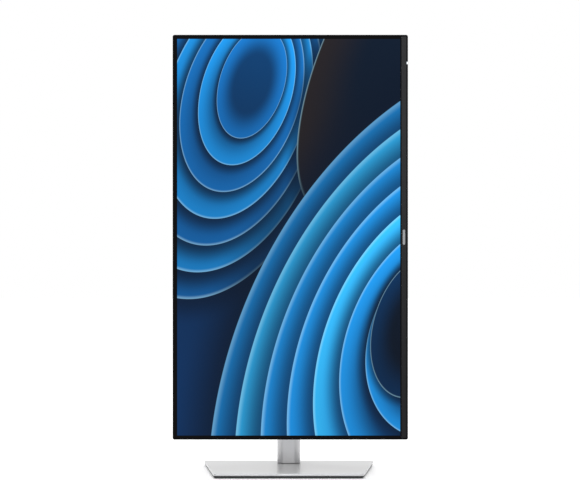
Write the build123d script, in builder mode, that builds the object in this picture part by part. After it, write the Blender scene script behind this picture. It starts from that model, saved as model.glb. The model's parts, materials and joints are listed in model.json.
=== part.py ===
"""A 23.8 inch computer monitor on a height-adjustable stand, standing upright in portrait.

Millimetres.  The origin is where the swivel axis meets the desk: X to the viewer's right, Y away
from the viewer, Z up.  The head is drawn the way it is used in landscape, on the plane HEAD: its
first axis runs along the long side to the right, its second up the short side, and depths are
measured from the front of the bezel towards the back.  HEAD is turned a quarter turn, so that the
head stands in portrait with its chin on the viewer's right.
"""
from build123d import *
import os

os.makedirs("parts", exist_ok=True)

# The picture and the borders round it.
SCREEN_WIDE = 527.04
SCREEN_TALL = 296.46
SIDE_BEZEL = 5.4
TOP_BEZEL = 6.0
CHIN = 10.2
HEAD_WIDE = SCREEN_WIDE + 2 * SIDE_BEZEL
HEAD_TALL = SCREEN_TALL + TOP_BEZEL + CHIN
HEAD_MIDDLE = (TOP_BEZEL - CHIN) / 2
HEAD_CORNER = 2.5
HEAD_RIGHT = HEAD_WIDE / 2
HEAD_TOP = SCREEN_TALL / 2 + TOP_BEZEL
HEAD_BOTTOM = -SCREEN_TALL / 2 - CHIN
LIP = 1.6
RIM_INSET = 0.3
GAP = 0.2

# Depths inside the head, from the front of the bezel.
GLASS_FRONT = 0.5
GLASS_BACK = 1.9
CHIN_BACK = 2.4
GUIDE_FRONT = 3.4
GUIDE_BACK = 5.4
TRAY_FRONT = 6.0
TRAY_BACK = 6.8
COVER_FRONT = 8.0
RIM_BACK = 11.0
CHASSIS_FRONT = 9.0
CHASSIS_BACK = 10.2
BAY_FLOOR = 20.0
BOARD_FRONT = 21.0
BOARD_BACK = 22.6
SLOPE_BACK = 30.0
RECESS_FLOOR = 38.0
COVER_BACK = 46.0
COVER_WALL = 2.0

# The rear cover's raised middle, the recess for the stand and the bay for the sockets.
SLOPE_WIDE, SLOPE_TALL, SLOPE_CORNER = 400.0, 214.0, 20.0
RAISED_WIDE, RAISED_TALL, RAISED_CORNER = 300.0, 184.0, 24.0
RAISED_DRAFT = 5.0
RECESS = 120.0
RECESS_CORNER = 8.0
BAY_HALF = 113.0
BAY_TOP = -70.0
BAY_BOTTOM = -140.0
VESA_SPACING = 100.0
VESA_BORE = 2.1
BUSH_RADIUS = 5.0
SOCKET_FACE = BAY_TOP - 0.8

# The controls on the back of the head, near the end of the chin.
PAD_LEFT, PAD_RIGHT = 190.0, 252.0
PAD_LOW, PAD_HIGH = -138.0, -118.0
PAD_BACK = 23.0
PAD_CORNER = 4.0
STICK_X, BUTTON_X, CONTROLS_Y = 235.0, 207.0, -128.0
CONTROLS_BOARD_FRONT = 14.0
CONTROLS_BOARD_BACK = 15.2
GIMBAL_DEPTH = 18.2
LED_X = 231.5

# Where the head hangs, and the tilt axis behind it.
SCREEN_Y = -132.0
PIVOT_Z = 319.0
TILT_DEPTH = 77.0
HEAD = Plane(origin=(0, SCREEN_Y, PIVOT_Z), x_dir=(0, 0, 1), z_dir=(0, -1, 0))

# The pivot behind the head.
MOUNT_PLATE = 88.0
MOUNT_PLATE_BACK = 41.0
PIVOT_FLANGE, PIVOT_FLANGE_BACK = 28.0, 45.0
PIVOT_SHAFT, PIVOT_SHAFT_BACK = 8.0, 60.0
BRACKET_RADIUS, BRACKET_FRONT, BRACKET_BACK = 30.0, 46.5, 50.5
STOP_RADIUS, STOP_PIN = 21.0, 2.0
EAR_INNER, EAR_OUTER, EAR_RADIUS = 12.6, 16.6, 11.0
HINGE_PIN, HINGE_PIN_HALF = 3.5, 24.0
HINGE_COVER_HALF = 28.0
HINGE_COVER_RISE = 19.0

# The riser, the column inside it and what slides in the column.
RISER_WIDE, RISER_DEEP, RISER_CORNER = 32.0, 34.0, 10.0
RISER_WALL = 1.6
RISER_FOOT = 7.2
RISER_TOP = 362.0
CAP_TOP = 364.0
FRAME_HALF, FRAME_WALL = 11.6, 1.8
FRAME_FRONT, FRAME_REAR = -10.0, 12.0
FRAME_INNER = FRAME_HALF - FRAME_WALL
FRAME_BACK_INNER = FRAME_REAR - FRAME_WALL
FRAME_TOP = 358.0
FOOT_TOP = 30.0
CABLE_HOLE_WIDE, CABLE_HOLE_LOW, CABLE_HOLE_HIGH = 14.0, 75.0, 125.0
CABLE_LINER_WALL = 1.2
SLOT_HALF, SLOT_LOW, SLOT_HIGH = 6.5, 165.0, 354.0
NECK_HALF = 5.5
CARRIAGE_HALF, CARRIAGE_RISE = 6.8, 20.0
CARRIAGE_FRONT, CARRIAGE_REAR = -8.0, 9.4
COIL_Y, COIL_Z, COIL_RADIUS, COIL_HALF = 4.2, PIVOT_Z - 9.0, 5.2, 5.2

# The foot plate, a trapezium wider at the back, and the swivel inside it.
BASE_FRONT, BASE_REAR = -152.0, 28.0
BASE_FRONT_WIDE, BASE_REAR_WIDE = 199.0, 237.0
BASE_CORNER = 4.0
PLATE_BOTTOM, PLATE_TOP = 0.8, 2.8
PLATE_INSET = 1.0
COVER_EDGE = 3.8
BASE_TOP = 6.6
BASE_CEILING = 5.0
SWIVEL_NECK, SWIVEL_DISC = 14.0, 20.0
SCREW_RADIUS, SCREW_HEAD = 3.0, 9.0


def block(left, right, low, high, front, back, mode=Mode.ADD):
    """Add a box in the head's own directions, between two depths."""
    middle = Pos((left + right) / 2, (low + high) / 2, -(front + back) / 2)
    with Locations(HEAD.location * middle):
        Box(right - left, high - low, back - front, mode=mode)


def post(along, up, radius, front, back, mode=Mode.ADD):
    """Add a round post that runs from one depth of the head to another."""
    with Locations(HEAD.location * Pos(along, up, -(front + back) / 2)):
        Cylinder(radius, back - front, mode=mode)


def roller(start, end, radius, mode=Mode.ADD):
    """Add a cylinder on the tilt axis, between two distances from the middle."""
    with Locations(HEAD.location * Pos(0, (start + end) / 2, -TILT_DEPTH) * Rot(90, 0, 0)):
        Cylinder(radius, end - start, mode=mode)


def slab(left, right, front, rear, low, high, mode=Mode.ADD):
    """Add a box given by its limits in X, Y and Z."""
    with Locations(((left + right) / 2, (front + rear) / 2, (low + high) / 2)):
        Box(right - left, rear - front, high - low, mode=mode)


def disc(radius, low, high, mode=Mode.ADD):
    """Add a disc on the swivel axis."""
    with Locations((0, 0, (low + high) / 2)):
        Cylinder(radius, high - low, mode=mode)


def head_outline(inset, corner=HEAD_CORNER, mode=Mode.ADD):
    """Draw the head's outline, or one that lies inside it."""
    with Locations((0, HEAD_MIDDLE)):
        RectangleRounded(HEAD_WIDE - 2 * inset, HEAD_TALL - 2 * inset, corner, mode=mode)


# The bezel: a rim round the glass, and a shelf along the chin with a shallow pocket for its strip.
STRIP_HALF = HEAD_RIGHT - LIP - 0.4
STRIP_LOW, STRIP_HIGH = HEAD_BOTTOM + 1.8, -SCREEN_TALL / 2 - 1.4
SHELF_TOP = STRIP_HIGH + 0.2
POCKET_BACK = 1.2
with BuildPart() as front_frame:
    with BuildSketch(HEAD):
        head_outline(0)
        head_outline(LIP, corner=0.4, mode=Mode.SUBTRACT)
    extrude(amount=-COVER_FRONT)
    block(-HEAD_RIGHT + LIP, HEAD_RIGHT - LIP, HEAD_BOTTOM + LIP, SHELF_TOP, 0, CHIN_BACK)
    block(-STRIP_HALF, STRIP_HALF, STRIP_LOW, STRIP_HIGH, 0, POCKET_BACK, mode=Mode.SUBTRACT)
    block(LED_X - 1.6, LED_X + 1.6, HEAD_BOTTOM + 0.4, HEAD_BOTTOM + 1.4, 0, COVER_FRONT, mode=Mode.SUBTRACT)
front_frame.part.label = "front_frame"
export_step(front_frame.part, "parts/front_frame.step")

with BuildPart() as chin_strip:
    block(-STRIP_HALF + 0.1, STRIP_HALF - 0.1, STRIP_LOW + 0.1, STRIP_HIGH - 0.1, GAP, POCKET_BACK)
chin_strip.part.label = "chin_strip"
export_step(chin_strip.part, "parts/chin_strip.step")

# A plain, unmarked badge in the middle of the chin.
BADGE_LONG, BADGE_TALL = 20.0, 3.2
with BuildPart() as front_badge:
    with BuildSketch(HEAD.offset(-GAP)):
        with Locations((0, (STRIP_LOW + STRIP_HIGH) / 2)):
            SlotOverall(BADGE_LONG, BADGE_TALL)
    extrude(amount=GAP / 2)
front_badge.part.label = "front_badge"
export_step(front_badge.part, "parts/front_badge.step")

with BuildPart() as power_led_lens:
    block(LED_X - 1.5, LED_X + 1.5, HEAD_BOTTOM + 0.5, HEAD_BOTTOM + 1.3, 0, 4)
power_led_lens.part.label = "power_led_lens"
export_step(power_led_lens.part, "parts/power_led_lens.step")

# The display panel, from the front polariser back to the steel tray.
GLASS_HALF = HEAD_RIGHT - LIP - GAP
GLASS_TOP = HEAD_TOP - LIP - GAP
GLASS_BOTTOM = SHELF_TOP + GAP
SHEET_HALF = GLASS_HALF - 3.0
SHEET_TOP = SCREEN_TALL / 2 + 0.4
GUIDE_BOTTOM = -SCREEN_TALL / 2 - 2.4
with BuildPart() as front_polariser:
    half_wide, half_tall = SCREEN_WIDE / 2, SCREEN_TALL / 2
    block(-half_wide, half_wide, -half_tall, half_tall, GLASS_FRONT - 0.2, GLASS_FRONT)
front_polariser.part.label = "front_polariser"
export_step(front_polariser.part, "parts/front_polariser.step")

with BuildPart() as lcd_glass:
    block(-GLASS_HALF, GLASS_HALF, GLASS_BOTTOM, GLASS_TOP, GLASS_FRONT, GLASS_BACK)
lcd_glass.part.label = "lcd_glass"
export_step(lcd_glass.part, "parts/lcd_glass.step")

with BuildPart() as optical_films:
    block(-SHEET_HALF, SHEET_HALF, -SHEET_TOP, SHEET_TOP, GLASS_BACK + GAP, GUIDE_FRONT - GAP)
optical_films.part.label = "optical_films"
export_step(optical_films.part, "parts/optical_films.step")

with BuildPart() as light_guide_plate:
    block(-SHEET_HALF, SHEET_HALF, GUIDE_BOTTOM, SHEET_TOP, GUIDE_FRONT, GUIDE_BACK)
light_guide_plate.part.label = "light_guide_plate"
export_step(light_guide_plate.part, "parts/light_guide_plate.step")

with BuildPart() as reflector_sheet:
    block(-SHEET_HALF, SHEET_HALF, GUIDE_BOTTOM, SHEET_TOP, GUIDE_BACK + 0.1, TRAY_FRONT - GAP)
reflector_sheet.part.label = "reflector_sheet"
export_step(reflector_sheet.part, "parts/reflector_sheet.step")

# The strip of lamps that shines into the light guide's lower edge.
LED_COUNT, LED_PITCH = 32, 16.0
BAR_HALF = LED_COUNT * LED_PITCH / 2
BAR_LOW = STRIP_LOW + 1.2
BAR_HIGH = BAR_LOW + 1.0
with BuildPart() as led_light_bar:
    block(-BAR_HALF, BAR_HALF, BAR_LOW, BAR_HIGH, 2.9, 5.3)
    for lamp in range(LED_COUNT):
        lamp_x = (lamp - (LED_COUNT - 1) / 2) * LED_PITCH
        block(lamp_x - 3, lamp_x + 3, BAR_HIGH, BAR_HIGH + 1.6, 3.4, 4.8)
led_light_bar.part.label = "led_light_bar"
export_step(led_light_bar.part, "parts/led_light_bar.step")

# The plastic frame that holds the sheets, with a channel for the strip of lamps.
MID_BOTTOM = HEAD_BOTTOM + LIP + GAP + 0.1
with BuildPart() as panel_mid_frame:
    block(-GLASS_HALF, GLASS_HALF, GLASS_BOTTOM, GLASS_TOP, GLASS_BACK, TRAY_FRONT)
    block(-GLASS_HALF, GLASS_HALF, MID_BOTTOM, GLASS_BOTTOM, CHIN_BACK + 0.1, TRAY_FRONT)
    block(-SHEET_HALF - 0.2, SHEET_HALF + 0.2, GUIDE_BOTTOM - 0.2, SHEET_TOP + 0.2, 0, 9, mode=Mode.SUBTRACT)
    block(-BAR_HALF - 0.5, BAR_HALF + 0.5, BAR_LOW - 0.1, GUIDE_BOTTOM, 2.8, 5.4, mode=Mode.SUBTRACT)
panel_mid_frame.part.label = "panel_mid_frame"
export_step(panel_mid_frame.part, "parts/panel_mid_frame.step")

with BuildPart() as panel_back_tray:
    block(-GLASS_HALF, GLASS_HALF, MID_BOTTOM, GLASS_TOP, TRAY_FRONT, TRAY_BACK)
    for rib in (-110, -30, 30, 110):
        block(-220, 220, rib - 5, rib + 5, TRAY_BACK, TRAY_BACK + 1.0)
panel_back_tray.part.label = "panel_back_tray"
export_step(panel_back_tray.part, "parts/panel_back_tray.step")

with BuildPart() as timing_board:
    block(-110, 110, -150, -128, TRAY_BACK, TRAY_BACK + 1.2)
    for chip in (-70, -20, 30, 80):
        block(chip - 7, chip + 7, -144, -134, TRAY_BACK + 1.2, TRAY_BACK + 2.6)
timing_board.part.label = "timing_board"
export_step(timing_board.part, "parts/timing_board.step")

# The flat cable that joins the timing board to the main board, under the floor of the bay.
RIBBON_LEFT, RIBBON_RIGHT = 20.0, 44.0
RIBBON_DEPTH = 14.0
with BuildPart() as panel_ribbon:
    block(RIBBON_LEFT, RIBBON_RIGHT, -127.6, -127.2, TRAY_BACK, RIBBON_DEPTH)
    block(RIBBON_LEFT, RIBBON_RIGHT, -127.6, -60.0, RIBBON_DEPTH, RIBBON_DEPTH + 0.4)
    block(RIBBON_LEFT, RIBBON_RIGHT, -60.4, -60.0, RIBBON_DEPTH, BOARD_FRONT)
panel_ribbon.part.label = "panel_ribbon"
export_step(panel_ribbon.part, "parts/panel_ribbon.step")


# The rear cover: a rim, a slope and a raised middle, with a recess for the stand, a bay for the
# sockets, a pad for the controls, and vents.
def cover_section(depth, wide, tall, corner):
    """Return one rounded rectangle of the rear cover at its depth."""
    with BuildSketch(HEAD.offset(-depth)) as section:
        RectangleRounded(wide, tall, corner)
    return section.sketch


def rim_section(depth, inset):
    """Return the head's outline at a depth, drawn inwards by an inset."""
    with BuildSketch(HEAD.offset(-depth)) as section:
        head_outline(inset)
    return section.sketch


def cover_form(wall, mode=Mode.ADD):
    """Add the rear cover's outer form, or its hollow when the wall has a thickness."""
    edge = rim_section(COVER_FRONT, RIM_INSET + wall)
    extrude(edge, amount=-(RIM_BACK - wall - COVER_FRONT), mode=mode)
    slope_front = rim_section(RIM_BACK - wall, RIM_INSET + wall)
    slope_back = cover_section(SLOPE_BACK - wall, SLOPE_WIDE, SLOPE_TALL, SLOPE_CORNER)
    loft([slope_front, slope_back], mode=mode)
    wide, tall = RAISED_WIDE - 2 * wall, RAISED_TALL - 2 * wall
    draft = 2 * RAISED_DRAFT
    raised_front = cover_section(SLOPE_BACK - wall - 1, wide, tall, RAISED_CORNER)
    raised_back = cover_section(COVER_BACK - wall, wide - draft, tall - draft, RAISED_CORNER - RAISED_DRAFT)
    loft([raised_front, raised_back], mode=mode)


with BuildPart() as cover_solid:
    cover_form(0)

RECESS_HALF = RECESS / 2 + COVER_WALL
with BuildPart() as pockets:
    block(-RECESS_HALF, RECESS_HALF, -RECESS_HALF, RECESS_HALF, RECESS_FLOOR - COVER_WALL, COVER_BACK)
    block(-BAY_HALF - COVER_WALL, BAY_HALF + COVER_WALL, BAY_BOTTOM, BAY_TOP + COVER_WALL,
          BAY_FLOOR - COVER_WALL, COVER_BACK)
    add(cover_solid.part, mode=Mode.INTERSECT)

# The pad stands proud of the slope near the head's corner and is sunk into it further in.
with BuildPart() as control_pad:
    with BuildSketch(HEAD.offset(-CONTROLS_BOARD_FRONT)):
        with Locations(((PAD_LEFT + PAD_RIGHT) / 2, (PAD_LOW + PAD_HIGH) / 2)):
            RectangleRounded(PAD_RIGHT - PAD_LEFT, PAD_HIGH - PAD_LOW, PAD_CORNER)
    extrude(amount=-(PAD_BACK - CONTROLS_BOARD_FRONT))
    pad_rim = control_pad.faces().sort_by(Axis.Y)[-1].edges()
    fillet(pad_rim, 1.0)

# Sockets along the bay, as their middle, width, and depths of their lower and upper sides.
INLET = (-85.0, 28.0, 22.8, 42.8)
DISPLAY_PORT = (-40.0, 18.6, 22.8, 31.0)
HDMI = (-12.0, 15.6, 22.8, 28.8)
USB_B = (18.0, 12.6, 22.8, 33.8)
USB_A = ((44.0, 14.2, 22.8, 29.6), (64.0, 14.2, 22.8, 29.6))
LOCK_PLATE = (96.0, 16.0, 26.0, 34.0)
SOCKETS = (INLET, DISPLAY_PORT, HDMI, USB_B, *USB_A, LOCK_PLATE)
VENT_PITCH, VENT_WIDE = 6.0, 2.2
SCREW_SPOTS = [(x, y) for x in (-128, 128) for y in (-60, 70)]
with BuildPart() as rear_cover:
    cover_form(0)
    cover_form(COVER_WALL, mode=Mode.SUBTRACT)
    add(pockets.part)
    add(control_pad.part)
    block(-BAY_HALF, BAY_HALF, BAY_BOTTOM - 20, BAY_TOP, BAY_FLOOR, 60, mode=Mode.SUBTRACT)
    block(PAD_LEFT - 2, PAD_RIGHT + 2, PAD_LOW - 2, PAD_HIGH + 2, PAD_BACK, 60, mode=Mode.SUBTRACT)
    block(
        PAD_LEFT + 2, PAD_RIGHT - 2, PAD_LOW + 2, PAD_HIGH - 2,
        COVER_FRONT, PAD_BACK - 2, mode=Mode.SUBTRACT,
    )
    with BuildSketch(HEAD.offset(-RECESS_FLOOR)):
        RectangleRounded(RECESS, RECESS, RECESS_CORNER)
    extrude(amount=-20, mode=Mode.SUBTRACT)
    for middle, wide, near, far in SOCKETS:
        block(middle - wide / 2 - 0.1, middle + wide / 2 + 0.1, BAY_TOP - 1, BAY_TOP + 3,
              near - 0.1, far + 0.1, mode=Mode.SUBTRACT)
    with BuildSketch(HEAD.offset(-COVER_BACK + 6)):
        with Locations((0, 74.5)):
            with GridLocations(VENT_PITCH, 1, 38, 1):
                SlotOverall(13, VENT_WIDE, rotation=90)
    extrude(amount=-20, mode=Mode.SUBTRACT)
    with BuildSketch(HEAD.offset(-SLOPE_BACK + 5)):
        with Locations((0, 99.5)):
            with GridLocations(VENT_PITCH, 1, 44, 1):
                SlotOverall(9, VENT_WIDE, rotation=90)
    extrude(amount=-10, mode=Mode.SUBTRACT)
    with BuildSketch(HEAD):
        with GridLocations(VESA_SPACING, VESA_SPACING, 2, 2):
            Circle(BUSH_RADIUS + 0.1)
        with Locations(*SCREW_SPOTS):
            Circle(1.8)
        with Locations((STICK_X, CONTROLS_Y)):
            Circle(7.2)
        with Locations((BUTTON_X, CONTROLS_Y)):
            Circle(5.0)
        with Locations((0, -52.5)):
            Rectangle(5.6, 9.0)
    extrude(amount=-60, mode=Mode.SUBTRACT)
    with BuildSketch(HEAD.offset(-COVER_BACK + 1.4)):
        with Locations(*SCREW_SPOTS):
            Circle(3.7)
    extrude(amount=-5, mode=Mode.SUBTRACT)
rear_cover.part.label = "rear_cover"
export_step(rear_cover.part, "parts/rear_cover.step")

with BuildPart() as cover_screws:
    for along, up in SCREW_SPOTS:
        post(along, up, 3.4, COVER_BACK - 1.4, COVER_BACK - 0.2)
        post(along, up, 1.5, COVER_BACK - 16, COVER_BACK - 1.4)
cover_screws.part.label = "cover_screws"
export_step(cover_screws.part, "parts/cover_screws.step")

# The steel chassis behind the panel, the threaded bushes for a wall mount, and the boards.
CHASSIS_HALF, CHASSIS_RISE = 138.0, 82.0
BOARD_INNER, BOARD_OUTER = 8.0, 118.0
BOARD_LOW, BOARD_HIGH = -66.5, -8.0
STANDOFFS = [(x, y) for x in (-112, -14, 14, 112) for y in (-60, -14)]
with BuildPart() as support_chassis:
    block(-CHASSIS_HALF, CHASSIS_HALF, -CHASSIS_RISE, CHASSIS_RISE, CHASSIS_FRONT, CHASSIS_BACK)
    for side in (-1, 1):
        near, far = sorted((side * CHASSIS_HALF, side * (CHASSIS_HALF - 1.2)))
        block(near, far, -CHASSIS_RISE, CHASSIS_RISE, CHASSIS_BACK, CHASSIS_BACK + 8)
        for foot in (-70, 60):
            left, right = sorted((side * 100, side * 130))
            block(left, right, foot, foot + 12, TRAY_BACK, CHASSIS_FRONT)
    for along, up in STANDOFFS:
        post(along, up, 3.0, CHASSIS_BACK, BOARD_FRONT)
support_chassis.part.label = "support_chassis"
export_step(support_chassis.part, "parts/support_chassis.step")

with BuildPart() as vesa_bushes:
    for along in (-VESA_SPACING / 2, VESA_SPACING / 2):
        for up in (-VESA_SPACING / 2, VESA_SPACING / 2):
            post(along, up, BUSH_RADIUS, CHASSIS_BACK, RECESS_FLOOR)
            post(along, up, VESA_BORE, BOARD_FRONT - 1, RECESS_FLOOR + 1, mode=Mode.SUBTRACT)
vesa_bushes.part.label = "vesa_bushes"
export_step(vesa_bushes.part, "parts/vesa_bushes.step")


def circuit_board(left, right):
    """Add a board with holes that clear the bushes."""
    block(left, right, BOARD_LOW, BOARD_HIGH, BOARD_FRONT, BOARD_BACK)
    for along in (-VESA_SPACING / 2, VESA_SPACING / 2):
        post(along, -VESA_SPACING / 2, 6.0, BOARD_FRONT - 1, BOARD_BACK + 1, mode=Mode.SUBTRACT)


with BuildPart() as main_board:
    circuit_board(BOARD_INNER, BOARD_OUTER)
    block(70, 92, -40, -18, BOARD_BACK, BOARD_BACK + 1.4)
    block(24, 36, -34, -22, BOARD_BACK, BOARD_BACK + 1.2)
    block(98, 110, -34, -26, BOARD_BACK, BOARD_BACK + 1.2)
    for row in (-30, -22, -14):
        block(42, 48, row - 1.5, row + 1.5, BOARD_BACK, BOARD_BACK + 1.0)
main_board.part.label = "main_board"
export_step(main_board.part, "parts/main_board.step")

with BuildPart() as power_board:
    circuit_board(-BOARD_OUTER, -BOARD_INNER)
power_board.part.label = "power_board"
export_step(power_board.part, "parts/power_board.step")

# What stands on the power board: a transformer, four capacitors and a finned heat sink.
with BuildPart() as power_components:
    block(-100, -76, -44, -20, BOARD_BACK, BOARD_BACK + 16)
    block(-104, -72, -39, -25, BOARD_BACK + 3, BOARD_BACK + 13)
    for along, up, radius in ((-30, -48, 5.0), (-20, -30, 4.0), (-34, -28, 5.0), (-22, -18, 4.0)):
        post(along, up, radius, BOARD_BACK, BOARD_BACK + 11.6)
    block(-70, -68, -40, -12, BOARD_BACK, BOARD_BACK + 12)
    for fin in (-38, -32, -26, -20, -14):
        block(-68, -62, fin, fin + 1.2, BOARD_BACK + 1, BOARD_BACK + 12)
power_components.part.label = "power_components"
export_step(power_components.part, "parts/power_components.step")


# The sockets in the bay: each is a shell with a cavity, and a tongue or pins inside it.
def socket_shell(middle, wide, near, far, wall, reach):
    """Add a socket's shell, open downwards."""
    block(middle - wide / 2, middle + wide / 2, SOCKET_FACE, SOCKET_FACE + reach, near, far)
    block(middle - wide / 2 + wall, middle + wide / 2 - wall, SOCKET_FACE - 1, SOCKET_FACE + reach - 3,
          near + wall, far - wall, mode=Mode.SUBTRACT)


def tongue(middle, half, near, far, reach):
    """Add the tongue inside a socket, rooted in the socket's end."""
    block(middle - half, middle + half, SOCKET_FACE + 1, SOCKET_FACE + reach, near, far)


with BuildPart() as display_port_socket:
    socket_shell(*DISPLAY_PORT, 1.0, 15)
    tongue(DISPLAY_PORT[0], 6.2, 26.2, 27.4, 13)
display_port_socket.part.label = "display_port_socket"
export_step(display_port_socket.part, "parts/display_port_socket.step")

with BuildPart() as hdmi_socket:
    socket_shell(*HDMI, 0.7, 13)
    tongue(HDMI[0], 5.6, 25.4, 26.4, 11)
hdmi_socket.part.label = "hdmi_socket"
export_step(hdmi_socket.part, "parts/hdmi_socket.step")

with BuildPart() as usb_sockets:
    socket_shell(*USB_B, 1.5, 17)
    tongue(USB_B[0], 3.0, 26.6, 29.8, 15)
    for port in USB_A:
        socket_shell(*port, 0.7, 14)
        tongue(port[0], 5.6, 24.4, 26.0, 12)
usb_sockets.part.label = "usb_sockets"
export_step(usb_sockets.part, "parts/usb_sockets.step")

with BuildPart() as ac_inlet:
    socket_shell(*INLET, 1.6, 21)
    for pin_x, pin_depth in ((0, 36.0), (-7, 30.0), (7, 30.0)):
        tongue(INLET[0] + pin_x, 1.0, pin_depth - 2, pin_depth + 2, 19)
ac_inlet.part.label = "ac_inlet"
export_step(ac_inlet.part, "parts/ac_inlet.step")

with BuildPart() as lock_plate:
    middle, wide, near, far = LOCK_PLATE
    block(middle - wide / 2, middle + wide / 2, BAY_TOP, BAY_TOP + 1.6, near, far)
    block(middle - 3.5, middle + 3.5, BAY_TOP - 1, BAY_TOP + 3, near + 2.5, far - 2.5, mode=Mode.SUBTRACT)
lock_plate.part.label = "lock_plate"
export_step(lock_plate.part, "parts/lock_plate.step")

# The controls: a small board with a tact switch, a power button, and a stick on a gimbal.
with BuildPart() as controls_board:
    block(PAD_LEFT + 3, PAD_RIGHT - 3, PAD_LOW + 3, PAD_HIGH - 3, CONTROLS_BOARD_FRONT, CONTROLS_BOARD_BACK)
    block(BUTTON_X - 3, BUTTON_X + 3, CONTROLS_Y - 3, CONTROLS_Y + 3, CONTROLS_BOARD_BACK, 17.4)
    post(BUTTON_X, CONTROLS_Y, 1.6, 17.4, 18.0)
    block(STICK_X - 6, STICK_X + 6, CONTROLS_Y - 6, CONTROLS_Y + 6, CONTROLS_BOARD_BACK, 19.6)
    post(STICK_X, CONTROLS_Y, 5.0, 15.8, 20, mode=Mode.SUBTRACT)
    with Locations(HEAD.location * Pos(STICK_X, CONTROLS_Y, -GIMBAL_DEPTH) * Rot(0, 90, 0)):
        Cylinder(0.7, 11.4, mode=Mode.SUBTRACT)
controls_board.part.label = "controls_board"
export_step(controls_board.part, "parts/controls_board.step")

with BuildPart() as joystick_gimbal:
    post(STICK_X, CONTROLS_Y, 4.4, GIMBAL_DEPTH - 0.6, GIMBAL_DEPTH + 0.6)
    with Locations(HEAD.location * Pos(STICK_X, CONTROLS_Y, -GIMBAL_DEPTH) * Rot(0, 90, 0)):
        Cylinder(0.5, 11.0)
    post(STICK_X, CONTROLS_Y, 3.0, GIMBAL_DEPTH - 1, GIMBAL_DEPTH + 1, mode=Mode.SUBTRACT)
    with Locations(HEAD.location * Pos(STICK_X, CONTROLS_Y, -GIMBAL_DEPTH) * Rot(90, 0, 0)):
        Cylinder(0.5, 8.0, mode=Mode.SUBTRACT)
joystick_gimbal.part.label = "joystick_gimbal"
export_step(joystick_gimbal.part, "parts/joystick_gimbal.step")

with BuildPart() as joystick_shaft:
    post(STICK_X, CONTROLS_Y, 1.5, GIMBAL_DEPTH - 1.4, 24.0)
    with Locations(HEAD.location * Pos(STICK_X, CONTROLS_Y, -GIMBAL_DEPTH) * Rot(90, 0, 0)):
        Cylinder(0.35, 7.6)
joystick_shaft.part.label = "joystick_shaft"
export_step(joystick_shaft.part, "parts/joystick_shaft.step")

with BuildPart() as joystick_cap:
    post(STICK_X, CONTROLS_Y, 5.2, 21.4, 27.0)
    cap_rim = joystick_cap.edges().filter_by(GeomType.CIRCLE).sort_by(Axis.Y)[-1]
    fillet(cap_rim, 1.2)
    post(STICK_X, CONTROLS_Y, 1.7, 21.0, 25.0, mode=Mode.SUBTRACT)
joystick_cap.part.label = "joystick_cap"
export_step(joystick_cap.part, "parts/joystick_cap.step")

with BuildPart() as power_button:
    post(BUTTON_X, CONTROLS_Y, 5.8, 18.8, 20.2)
    post(BUTTON_X, CONTROLS_Y, 4.7, 20.2, 24.4)
    button_rim = power_button.edges().filter_by(GeomType.CIRCLE).sort_by(Axis.Y)[-1]
    fillet(button_rim, 0.6)
power_button.part.label = "power_button"
export_step(power_button.part, "parts/power_button.step")

# The quick-release plate in the recess, with the latch that holds it and the pivot's disc and nut.
with BuildPart() as stand_mount_plate:
    with BuildSketch(HEAD.offset(-RECESS_FLOOR)):
        RectangleRounded(MOUNT_PLATE, MOUNT_PLATE, 6)
        with GridLocations(64, 64, 2, 2):
            Circle(2.4, mode=Mode.SUBTRACT)
    extrude(amount=-(MOUNT_PLATE_BACK - RECESS_FLOOR))
    block(-30, 30, MOUNT_PLATE / 2, MOUNT_PLATE / 2 + 6, RECESS_FLOOR + 0.2, RECESS_FLOOR + 1.8)
stand_mount_plate.part.label = "stand_mount_plate"
export_step(stand_mount_plate.part, "parts/stand_mount_plate.step")

with BuildPart() as release_latch:
    block(-9, 9, -55, -47, RECESS_FLOOR + 0.3, 43.0)
    block(-6, 6, -47, -42.5, MOUNT_PLATE_BACK + 0.3, 43.0)
    block(-2.5, 2.5, -52, -49, 33, RECESS_FLOOR + 0.3)
    for rib in (-54, -52, -50):
        block(-7, 7, rib, rib + 0.8, 43.0, 43.6)
release_latch.part.label = "release_latch"
export_step(release_latch.part, "parts/release_latch.step")

# A pin on the tilt bracket runs in the disc's quarter-circle slot and stops the head at each end.
STOP_ARC = CenterArc((0, 0), STOP_RADIUS, -4, 98)
with BuildPart() as pivot_disc:
    post(0, 0, PIVOT_FLANGE, MOUNT_PLATE_BACK, PIVOT_FLANGE_BACK)
    post(0, 0, PIVOT_SHAFT, PIVOT_FLANGE_BACK, PIVOT_SHAFT_BACK)
    with BuildSketch(HEAD.offset(-MOUNT_PLATE_BACK)):
        SlotArc(STOP_ARC, 2 * STOP_PIN + 1)
    extrude(amount=-(PIVOT_FLANGE_BACK - MOUNT_PLATE_BACK), mode=Mode.SUBTRACT)
pivot_disc.part.label = "pivot_disc"
export_step(pivot_disc.part, "parts/pivot_disc.step")

with BuildPart() as pivot_nut:
    with BuildSketch(HEAD.offset(-BRACKET_BACK - 0.4)):
        RegularPolygon(10.8, 6)
        Circle(PIVOT_SHAFT + 0.05, mode=Mode.SUBTRACT)
    extrude(amount=-6)
pivot_nut.part.label = "pivot_nut"
export_step(pivot_nut.part, "parts/pivot_nut.step")

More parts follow.
